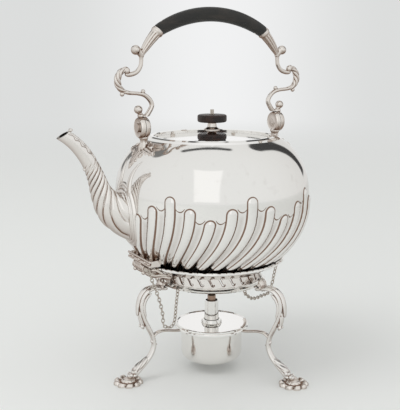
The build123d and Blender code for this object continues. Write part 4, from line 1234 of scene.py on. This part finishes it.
def pierced_cell():
    """One share of the band with its curl cut through: points in millimetres, faces, and where shade is painted."""
    half_w, half_h = pi * gallery_radius / curl_count, gallery_height / 2
    corners = [(-half_w, -half_h), (half_w, -half_h), (half_w, half_h), (-half_w, half_h)]
    border = []
    for (u, v), (next_u, next_v) in zip(corners, corners[1:] + corners[:1]):
        border += [(u + (next_u - u) * k / 8, v + (next_v - v) * k / 8) for k in range(8)]
    lip, hole = curl_edge(curl_lip), curl_edge(0.0)
    triangles = tessellate_polygon([[Vector((*spot, 0)) for spot in border], [Vector((*spot, 0)) for spot in lip]])
    flat = border + lip + hole
    size = len(flat)
    points = []
    for radius in (gallery_radius, gallery_radius - gallery_wall):
        for u, v in flat:
            a = u / gallery_radius
            points.append((radius * cos(a), radius * sin(a), gallery_bottom_z + half_h + v))
    faces = []
    for a, b, c in triangles:
        faces += [(a, b, c), (size + c, size + b, size + a)]
    first = len(border)
    for k in range(len(hole)):
        m = (k + 1) % len(hole)
        lip_k, lip_m, hole_k, hole_m = first + k, first + m, first + len(lip) + k, first + len(lip) + m
        faces.append((lip_m, lip_k, hole_k, hole_m))
        faces.append((size + lip_k, size + lip_m, size + hole_m, size + hole_k))
        faces.append((hole_m, hole_k, size + hole_k, size + hole_m))
    for k in range(len(border)):
        m = (k + 1) % len(border)
        if abs(border[k][1]) == half_h and border[k][1] == border[m][1]:
            faces.append((k, m, size + m, size + k))
    # The band's inner face and the curls' walls get painted shade.
    return points, faces, [curl_wall_shade if k >= first + len(lip) else 0.0 for k in range(2 * size)]


ring_sizes = {"Count": curl_count, "Merge Distance": 0.002 * mm}
tree, given, gives = add_geometry_tree("pierced_ring", ring_sizes)
ring_points = tree.nodes.new("GeometryNodePoints")
link(tree, given.outputs["Count"], ring_points.inputs["Count"])
index = Reading(tree, tree.nodes.new("GeometryNodeInputIndex").outputs[0])
turning = tree.nodes.new("ShaderNodeCombineXYZ")
link(tree, (index * (2 * pi) / Reading(tree, given.outputs["Count"])).socket, turning.inputs["Z"])
spread = tree.nodes.new("GeometryNodeInstanceOnPoints")
link(tree, ring_points.outputs[0], spread.inputs["Points"])
link(tree, given.outputs["Geometry"], spread.inputs["Instance"])
link(tree, turning.outputs[0], spread.inputs["Rotation"])
weld = tree.nodes.new("GeometryNodeRealizeInstances")
link(tree, spread.outputs[0], weld.inputs[0])
merge = tree.nodes.new("GeometryNodeMergeByDistance")
link(tree, weld.outputs[0], merge.inputs[0])
link(tree, given.outputs["Merge Distance"], merge.inputs["Distance"])
finish_tree(tree, given, gives, merge.outputs[0])
# These values hold the painted shade of the band's inner face and the curls' walls.
points, faces, oxide = pierced_cell()
gallery = new_piece("gallery_pierced", points, faces)
gallery.data.attributes.new("relief", "FLOAT", "POINT").data.foreach_set("value", oxide)
run_tree(gallery, tree, ring_sizes, chased_silver)
face_out(gallery)
settle(gallery, "stand", chased_silver, ("pierced_gallery",), crease=30, relief_rounds=0)


# Legs: three cast scrolls, each with a ribbed knee under the ring, a leaf spur behind the knee, a small spur where the
# burner's rod joins, a leaf over the ankle and a twisted collar above the foot.

foot_reach = 94.0
base_ring_radius = 54.5
base_ring_bottom_z = 94.0
leg_colour = (0.90, 0.875, 0.85, 1)
# The legs get painted shade on their edges and undersides.
leg_silver = silver("leg_silver", leg_colour, 1.0, 0.11, 0.05, shade=0.7, underside_shade=0.2)
leg_angles = {"spout_side": 180.0, "rear_right": 300.0, "rear_left": 60.0}
leg_line = [
    (-5.1, 0.972, 2.0, 5.4),
    (1.9, 0.985, 2.3, 5.6),
    (9.5, 1.000, 2.5, 5.6),
    (15.8, 0.983, 2.6, 5.5),
    (19.4, 0.921, 2.8, 5.2),
    (17.8, 0.819, 2.7, 4.8),
    (10.9, 0.702, 2.5, 4.3),
    (1.4, 0.583, 2.4, 3.9),
    (-7.9, 0.472, 2.3, 3.6),
    (-13.7, 0.368, 2.3, 3.5),
    (-14.1, 0.270, 2.4, 3.6),
    (-10.5, 0.185, 2.6, 3.8),
    (-5.5, 0.113, 2.9, 4.2),
    (-1.1, 0.049, 3.2, 4.8),
]
outer_ridge = [
    (12.3, 1.012, 1.0, 2.4),
    (18.3, 1.004, 1.4, 2.8),
    (22.5, 0.940, 1.6, 3.0),
    (22.0, 0.847, 1.5, 2.9),
    (19.6, 0.765, 1.2, 2.4),
    (17.6, 0.715, 0.7, 1.6),
]
side_ridge = [(13.0, 0.955, 1.2, 1.0), (16.6, 0.890, 1.5, 1.2), (15.2, 0.805, 1.4, 1.1), (9.0, 0.700, 1.0, 0.8)]
knee_spur = [(17.5, 0.790, 1.6, 3.2), (13.8, 0.700, 2.1, 3.2), (7.6, 0.600, 1.9, 2.8), (5.0, 0.560, 1.0, 1.8)]
rod_spur = [(-8.5, 0.430, 1.4, 2.4), (-11.0, 0.400, 1.4, 2.2), (-17.6, 0.366, 0.9, 1.4)]
ankle_leaf = [(-13.4, 0.262, 1.0, 2.6), (-9.0, 0.205, 2.3, 4.2), (-3.6, 0.150, 2.4, 4.8), (-1.0, 0.118, 1.2, 3.2)]
ankle_balls = [(-2.6, 0.105, 3.3), (0.8, 0.075, 3.0), (-5.0, 0.088, 2.8)]


def leg_place(bulge, share):
    """The x and z of a point on a leg: its bulge outside the line from foot to base ring, and its share of it."""
    return foot_reach + share * (base_ring_radius - foot_reach) + bulge, share * base_ring_bottom_z


def on_leg(stations):
    """Stations of a leg's rod as x, z, half thickness and half width."""
    return [(*leg_place(bulge, share), thick, wide) for bulge, share, thick, wide in stations]


def ribbed(angle, share):
    """A leg's section: a raised rib between two chased lines on its front and on its back."""
    lines = sum(ditch(cos(angle) - level, 0.10) for level in (-0.45, 0.45))
    return 1 - 0.20 * lines * (1 - 0.6 * rise_between(0.55, 0.75, share))


def leaf_ribs(angle, share):
    """A small leaf's section, with slanted veins."""
    return 1 - 0.22 * ditch(((angle / pi * 4 + share * 5) % 2) - 1, 0.35)


for name, leg_angle in leg_angles.items():
    points = []
    faces = []
    rod(points, faces, on_leg(leg_line), ribbed, around=40)
    for stations, section in (
        (outer_ridge, plain),
        (knee_spur, leaf_ribs),
        (rod_spur, plain),
        (ankle_leaf, leaf_ribs),
    ):
        rod(points, faces, on_leg(stations), section)
    for turn_at in (-1, 1):
        first = len(points)
        rod(points, faces, on_leg(side_ridge), plain, around=16)
        for k in range(first, len(points)):
            px, py, pz = points[k]
            points[k] = (px, py + turn_at * 4.1, pz)
        ball(points, faces, (leg_place(8.6, 0.600)[0], turn_at * 2.4, leg_place(8.6, 0.600)[1]), (1.9, 1.4, 1.9))
    for bulge, share, radius in ankle_balls:
        place = leg_place(bulge, share)
        ball(points, faces, (place[0], 0, place[1]), (radius, radius * 1.25, radius * 0.8))
        for turn_at in (-1, 1):
            ball(points, faces, (place[0], turn_at * radius, place[1] + 1.0), (radius * 0.6, radius * 0.5, radius * 0.7))
    turn_points(points, 0, leg_angle)
    leg = new_piece("leg_scrolled_" + name, points, faces)
    melt(leg, 0.34, 2)
    settle(leg, "stand", leg_silver, ("leg_" + name,), relief_rounds=5, relief_depth=0.08)


# Feet: cast rosettes of curled leaves, each a scalloped shell with a hollow ring round its middle.

foot_radius = 14.6
foot_height = 5.6
foot_lobes = 9
foot_around = 216
foot_rings = 26


def foot_level(share, phase):
    """Height of the foot's top at a share of its radius and a phase within a leaf."""
    dome = foot_height * (1 - 0.72 * share ** 1.5)
    leaf = 1 - ditch(abs(phase) * 2 - 1, 0.34)
    ring = 2.1 * ditch(share - 0.56, 0.13) * (0.55 + 0.45 * leaf)
    curl = 1.5 * ditch(share - 0.86, 0.10) * leaf
    seam = 1.3 * ditch(abs(phase) * 2 - 1, 0.22) * rise_between(0.30, 0.62, share)
    return max(dome - ring + curl - seam, 0.5)


for name, leg_angle in leg_angles.items():
    points = [(foot_reach, 0, foot_height)]
    faces = []
    for ring in range(1, foot_rings + 1):
        share = ring / foot_rings
        for k in range(foot_around):
            a = 2 * pi * k / foot_around
            turned_by = a + 0.5 * share
            phase = (turned_by * foot_lobes / (2 * pi)) % 1 - 0.5
            edge = 1 - 0.13 * ditch(abs(phase) * 2 - 1, 0.42) * share
            radius = foot_radius * share * edge
            level = foot_level(share, phase)
            points.append((foot_reach + radius * cos(a), radius * sin(a), level))
    for share, level in ((1.0, 0.0), (0.55, 0.0)):
        for k in range(foot_around):
            a = 2 * pi * k / foot_around
            phase = ((a + 0.5 * share) * foot_lobes / (2 * pi)) % 1 - 0.5
            edge = 1 - 0.13 * ditch(abs(phase) * 2 - 1, 0.42) * share
            points.append((foot_reach + foot_radius * share * edge * cos(a), foot_radius * share * edge * sin(a), level))
    points.append((foot_reach, 0, 0))
    rings = foot_rings + 2
    faces += grid_faces(rings, foot_around, 1)
    end = len(points) - 1
    for k in range(foot_around):
        m = (k + 1) % foot_around
        faces.append((0, 1 + k, 1 + m))
        faces.append((end, end - foot_around + m, end - foot_around + k))
    turn_points(points, 0, leg_angle)
    foot = new_piece("foot_shell_" + name, points, faces)
    face_out(foot)
    settle(foot, "stand", cast_silver, ("foot_" + name,), relief_rounds=6, relief_depth=0.10)


# Leg ornaments: a smooth boss at the top of each leg with a border of small loops under it, cast and soldered on.

boss_lean = -24.0
loop_count = 7

for name, leg_angle in leg_angles.items():
    points = []
    faces = []
    centre = Vector((base_ring_radius + 2.6, 0, base_ring_bottom_z + 3.4))
    ball(points, faces, centre, (2.8, 5.0, 4.6), rows=20, around=32, lean=boss_lean)
    c, s = cos(radians(boss_lean)), sin(radians(boss_lean))
    for k in range(loop_count):
        a = radians(180 + 180 * k / (loop_count - 1))
        y, z = 6.9 * cos(a), 6.2 * sin(a)
        first = len(points)
        for m in range(20):
            b = 2 * pi * m / 20
            for n in range(10):
                e = 2 * pi * n / 10
                reach = 1.25 + 0.62 * cos(e)
                px, py, pz = 0.75 * sin(e) + 0.4, y + reach * cos(b), z + reach * sin(b)
                points.append((centre.x + px * c + pz * s, py, centre.z - px * s + pz * c))
        for m in range(20):
            for n in range(10):
                o = (m + 1) % 20
                q = (n + 1) % 10
                faces.append((first + m * 10 + n, first + m * 10 + q, first + o * 10 + q, first + o * 10 + n))
        ball(points, faces, (centre.x + 0.2 * c + z * s * 0.80, y * 0.80, centre.z - 0.2 * s + z * c * 0.80), (1.1, 1.2, 1.2))
    turn_points(points, 0, leg_angle)
    boss = new_piece("leg_boss_" + name, points, faces)
    melt(boss, 0.26, 1)
    settle(boss, "stand", cast_silver, ("leg_ornament_" + name,), relief_rounds=4, relief_depth=0.07)


# Front hinge, kettle half: a moulded bar soldered under the spout, bordered by beads and set with rosette buttons,
# with the middle knuckle under it. It is one casting.

flange_z = 119.6
flange_radius = 72.0
hinge_reach = flange_radius + 1.4 + 5.6
hinge_z = flange_z - 2.0
knuckle_radius = 3.6
kettle_knuckle_half = 6.5
knuckle_gap = 0.3
hinge_bar_half = 25.0
bar_foot_z = hinge_z + knuckle_radius + knuckle_gap
bar_top_z = bar_foot_z + 6.0
bar_front = -hinge_reach - 2.2
bar_nose = [(1.0, 0.2), (0.0, 1.2), (0.6, 2.2), (1.3, 3.0), (0.6, 3.9), (0.2, 4.9), (1.2, 5.8), (3.2, 6.0)]
bar_steps = 50

points = []
faces = []
for step in range(bar_steps + 1):
    y = hinge_bar_half * (2 * step / bar_steps - 1)
    end = 1.4 * (abs(y) / hinge_bar_half) ** 6
    rear = -sqrt((belly_at(bar_foot_z + 3.0) - 0.6) ** 2 - y * y)
    points += [(bar_front + x + end, y, bar_foot_z + z) for x, z in bar_nose]
    points += [(rear, y, bar_top_z + 0.4), (rear, y, bar_foot_z)]
around = len(bar_nose) + 2
faces += grid_faces(bar_steps + 1, around)
faces.append(tuple(reversed(range(around))))
faces.append(tuple(bar_steps * around + k for k in range(around)))
for z, radius in ((0.9, 1.1), (5.2, 1.2)):
    drum(points, faces, radius, lambda y, a, b: (bar_front + 0.9 + a, y, bar_foot_z + z + b), -25.2, 25.2)
for y in (-21.5, -14.5, 0.0, 14.5, 21.5):
    ball(points, faces, (bar_front + 0.7, y, bar_foot_z + 3.0), (1.2, 1.5, 1.5))
    for k in range(6):
        a = 2 * pi * k / 6
        ball(points, faces, (bar_front + 1.0, y + 2.0 * cos(a), bar_foot_z + 3.0 + 1.7 * sin(a)), (0.8, 0.85, 0.85), 8, 10)
for start, end, radius in ((-6.5, 6.5, 3.45), (-6.5, -5.3, 3.6), (-3.4, -2.2, 3.6), (2.2, 3.4, 3.6), (5.3, 6.5, 3.6)):
    drum(points, faces, radius, lambda y, a, b: (-hinge_reach + a, y, hinge_z + b), start, end, 48)
web = [(-3.2, 0.0), (-3.0, 4.6), (3.4, 4.6), (3.2, 0.0)]
first = len(points)
for y in (-6.3, 6.3):
    points += [(-hinge_reach + x, y, hinge_z + z) for x, z in web]
faces += grid_faces(2, 4, first)
faces += [tuple(first + k for k in reversed(range(4))), tuple(first + 4 + k for k in range(4))]
hinge = new_piece("hinge_bar_moulded", points, faces)
melt(hinge, 0.26, 1)
settle(hinge, "kettle", cast_silver, ("kettle_hinge",), relief_rounds=6, relief_depth=0.06)


# Front hinge, stand half: two cast scroll brackets under the flange, each with an outer knuckle and a leaf tip.

gallery_outer = 49.8
bracket_line = [
    (-hinge_reach + 0.4, hinge_z - 0.6, 3.0, 2.7),
    (-hinge_reach + 2.6, hinge_z - 5.0, 2.6, 2.6),
    (-hinge_reach + 9.5, hinge_z - 8.6, 2.3, 2.5),
    (-hinge_reach + 17.5, hinge_z - 10.0, 2.5, 2.5),
    (-gallery_outer - 5.0, hinge_z - 12.5, 2.8, 2.6),
    (-gallery_outer - 1.0, hinge_z - 14.6, 2.8, 2.6),
]
brace_line = [
    (-hinge_reach + 5.0, hinge_z - 3.0, 1.6, 2.2),
    (-hinge_reach + 11.0, hinge_z - 3.6, 1.7, 2.2),
    (-hinge_reach + 15.5, hinge_z - 6.2, 1.8, 2.2),
    (-hinge_reach + 20.0, hinge_z - 9.0, 1.8, 2.2),
]
points = []
faces = []
for turn_at in (-1, 1):
    first = len(points)
    rod(points, faces, bracket_line, leaf_ribs)
    rod(points, faces, brace_line, plain)
    ball(points, faces, (-hinge_reach - 1.4, 0, hinge_z - 4.4), (1.9, 2.4, 1.9))
    ball(points, faces, (-hinge_reach + 13.0, 0, hinge_z - 12.2), (1.8, 2.0, 1.8))
    near, far = kettle_knuckle_half + knuckle_gap, kettle_knuckle_half + knuckle_gap + 5.5
    middle = (near + far) / 2
    for k in range(first, len(points)):
        px, py, pz = points[k]
        points[k] = (px, turn_at * middle + py, pz)
    for start, end, radius in ((near, far, 3.4), (near, near + 1.2, 3.6), (far - 1.2, far, 3.6)):
        drum(
            points,
            faces,
            radius,
            lambda y, a, b: (-hinge_reach + a, turn_at * y, hinge_z + b),
            start,
            end,
            48,
        )
brackets = new_piece("hinge_brackets_scrolled", points, faces)
melt(brackets, 0.28, 1)
settle(brackets, "stand", cast_silver, ("stand_hinge_brackets",), relief_rounds=6, relief_depth=0.06)


# Safety chains: oval links of drawn wire, soldered shut, from the ring of each pin to an eyelet under the base ring.
# Each hangs slack. Neighbouring links stand a quarter turn round from each other.

link_sizes = {
    "Link Length": 5.6 * mm,
    "Link Width": 4.0 * mm,
    "Wire Radius": 0.56 * mm,
    "First Roll": 0.0,
    "Twist": 0.0,
    "Joins": 0.0,
}
link_pitch = 3.68
eyelet_reach = base_ring_radius - 3.4
eyelet_z = base_ring_bottom_z - 1.4
ring_hang = 0.96
pin_ring_drop = 2.1 - 0.6 - 0.45 - 0.06 + 5.6 / 2 - 0.45 - link_pitch / 2
eyelet_drop = 1.9 - 0.5 - 0.45 - 0.06 + 5.6 / 2 - 0.45 - link_pitch / 2
hinge_ring_y = -(kettle_knuckle_half + 5.8 + 0.3 + 2.9 - 0.4) - 2.9 - 2.1 + 0.5
lock_ring_y = -(3.0 + 0.3 + 3.2 + 0.3 + 2.9 - 0.4) - 2.9 - 2.1 + 0.5
lug_reach = flange_radius - 2.0
lug_z = flange_z - 13.6
chains = {
    "front_chain": (
        (-hinge_reach, hinge_ring_y, hinge_z - pin_ring_drop),
        200.6,
        [(0.13, 7.9), (0.33, 19.5), (0.46, 33.0), (0.47, 39.6), (0.52, 43.8), (0.75, 39.9), (0.88, 31.0), (0.95, 11.0)],
    ),
    "rear_chain": (
        (lug_reach, lock_ring_y, lug_z - pin_ring_drop),
        280.0,
        [(0.07, 8.0), (0.16, 19.0), (0.28, 23.5), (0.44, 20.5), (0.66, 16.3), (0.81, 11.5), (0.92, 5.5)],
    ),
}
chain_colour = (0.53, 0.48, 0.43, 1)
chain_silver = silver("chain_silver", chain_colour, 1.0, 0.20, 0.0)

tree, given, gives = add_geometry_tree("hanging_links", link_sizes)
size = {label: Reading(tree, given.outputs[label]) for label in link_sizes}
index = Reading(tree, tree.nodes.new("GeometryNodeInputIndex").outputs[0])
route = tree.nodes.new("GeometryNodeMeshToCurve")
link(tree, given.outputs["Geometry"], route.inputs[0])
posts = tree.nodes.new("GeometryNodeResampleCurve")
link(tree, route.outputs[0], posts.inputs["Curve"])
link(tree, (size["Joins"] * 2.0 - 1.0).socket, posts.inputs["Count"])
outline = tree.nodes.new("GeometryNodeCurvePrimitiveCircle")
outline.inputs["Resolution"].default_value = 12
outline.inputs["Radius"].default_value = 1.0
shape = tree.nodes.new("ShaderNodeCombineXYZ")
link(tree, (size["Link Length"] * 0.5 - size["Wire Radius"]).socket, shape.inputs["X"])
link(tree, (size["Link Width"] * 0.5 - size["Wire Radius"]).socket, shape.inputs["Y"])
shape.inputs["Z"].default_value = 1.0
oval = tree.nodes.new("GeometryNodeTransform")
link(tree, outline.outputs["Curve"], oval.inputs["Geometry"])
link(tree, shape.outputs[0], oval.inputs["Scale"])
wire = tree.nodes.new("GeometryNodeCurvePrimitiveCircle")
wire.inputs["Resolution"].default_value = 7
link(tree, size["Wire Radius"].socket, wire.inputs["Radius"])
loop = tree.nodes.new("GeometryNodeCurveToMesh")
link(tree, oval.outputs[0], loop.inputs["Curve"])
link(tree, wire.outputs[0], loop.inputs["Profile Curve"])
tangent = tree.nodes.new("GeometryNodeInputTangent").outputs[0]
along = tree.nodes.new("FunctionNodeAlignRotationToVector")
along.axis = "X"
link(tree, tangent, along.inputs["Vector"])
level = tree.nodes.new("FunctionNodeAlignRotationToVector")
level.axis = "Z"
level.pivot_axis = "X"
link(tree, along.outputs[0], level.inputs["Rotation"])
level.inputs["Vector"].default_value = (0.0, -1.0, 0.0)
place = (index - 1.0) * 0.5
quarter = (place - (place * 0.5).work("FLOOR") * 2.0) * (pi / 2)
roll = tree.nodes.new("ShaderNodeCombineXYZ")
link(tree, (size["First Roll"] + size["Twist"] * place + quarter).socket, roll.inputs["X"])
rolled = tree.nodes.new("FunctionNodeRotateRotation")
rolled.rotation_space = "LOCAL"
link(tree, level.outputs[0], rolled.inputs["Rotation"])
link(tree, roll.outputs[0], rolled.inputs["Rotate By"])
odd = index - (index * 0.5).work("FLOOR") * 2.0
hang = tree.nodes.new("GeometryNodeInstanceOnPoints")
link(tree, posts.outputs[0], hang.inputs["Points"])
link(tree, odd.socket, hang.inputs["Selection"])
link(tree, loop.outputs[0], hang.inputs["Instance"])
link(tree, rolled.outputs[0], hang.inputs["Rotation"])
finish_tree(tree, given, gives, hang.outputs[0])


def roll_between(tangent, start, end):
    """The turn about the tangent that carries one direction towards another."""
    start = start - tangent * start.dot(tangent)
    across = end - tangent * end.dot(tangent)
    return np.arctan2(start.cross(across).dot(tangent), start.dot(across))


for name, (start, eye_angle, drops) in chains.items():
    start = Vector(start)
    way = Vector((cos(radians(eye_angle)), sin(radians(eye_angle)), 0))
    end = way * eyelet_reach + Vector((0, 0, eyelet_z - eyelet_drop))
    knots = [start] + [start.lerp(end, share) - Vector((0, 0, depth)) for share, depth in drops] + [end]
    line = [Vector(between(knots, k / 400)) for k in range(401)]
    length = sum((b - a).length for a, b in zip(line, line[1:]))
    count = round(length / link_pitch)
    side = Vector((0, -1, 0))
    first_roll = roll_between((line[8] - line[0]).normalized(), side, Vector((0, 1, 0)))
    last_roll = roll_between((line[-1] - line[-9]).normalized(), side, way) - pi / 2 * ((count - 1) % 2)
    twist = (last_roll - first_roll + pi / 2) % pi - pi / 2
    chain = new_piece(name + "_links", [tuple(p) for p in line], [])
    chain.data.edges.add(len(line) - 1)
    for k, edge_line in enumerate(chain.data.edges):
        edge_line.vertices = (k, k + 1)
    values = {**link_sizes, "First Roll": first_roll, "Twist": twist / (count - 1), "Joins": count + 1}
    run_tree(chain, tree, values, chain_silver)
    face_out(chain)
    settle(chain, "stand", chain_silver, (name,), relief_rounds=0)


# Burner and the small parts: spun and drawn silver, plain and a little dulled by heat. The pins, rivets and eyelets
# are drawn wire.

burner_colour = (0.87, 0.855, 0.83, 1)
scorched_colour = (0.36, 0.25, 0.19, 1)
burner_silver = silver("burner_silver", burner_colour, 0.8, 0.085, 0.12)
scorched_silver = silver("scorched_silver", scorched_colour, 1.0, 0.3, 0.05)
refinish("polished_silver", burner_silver, "burner_reservoir", "burner_neck_collar", "wick_sleeve")
refinish("chased_silver", scorched_silver, "wick_tube")
refinish("polished_silver", chain_silver, "chain_eyelets", "front_hinge_pin", "rear_lock_pin", "grip_rivets")
refinish("polished_silver", chain_silver, "finial_bolt", "finial_nut")
for name in leg_angles:
    refinish("chased_silver", cast_silver, "burner_arm_" + name)
refinish("chased_silver", cast_silver, "handle_pivot_spout_side", "handle_pivot_rear", "finial_stem", "burner_thumbpiece")


# Wick: plaited cotton cord, cream where it is clean and brown where it has burned.

wick_top_z = 78.2


def plaited_cotton(name, clean, burned):
    """Cotton cord: a plait of slanted ridges about the upright axis, darker towards its burned tip."""
    material = bpy.data.materials.new(name)
    material.use_nodes = True
    tree = material.node_tree
    shader = tree.nodes["Principled BSDF"]
    shader.inputs["Roughness"].default_value = 0.95
    shader.inputs["Specular IOR Level"].default_value = 0.1
    axes = tree.nodes.new("ShaderNodeSeparateXYZ")
    link(tree, tree.nodes.new("ShaderNodeTexCoord").outputs["Object"], axes.inputs[0])
    x, y, z = (Reading(tree, axes.outputs[i]) * 1000.0 for i in range(3))
    turned = y.work("ARCTAN2", x - kettle_axis.x)
    plait = ((turned * 3.0 + z * 2.6).work("SINE") * (turned * 3.0 - z * 2.6).work("SINE")) * 0.5 + 0.5
    char = z.step(wick_top_z - 5.0, wick_top_z - 0.5)
    link(tree, mix_colours(tree, char.socket, clean, burned), shader.inputs["Base Color"])
    bump = tree.nodes.new("ShaderNodeBump")
    bump.inputs["Strength"].default_value = 1.0
    bump.inputs["Distance"].default_value = 0.4 * mm
    link(tree, plait.socket, bump.inputs["Height"])
    link(tree, bump.outputs["Normal"], shader.inputs["Normal"])
    return material


refinish("wick_cotton", plaited_cotton("wick_cotton", (0.62, 0.56, 0.45, 1), (0.05, 0.038, 0.03, 1)), "wick")
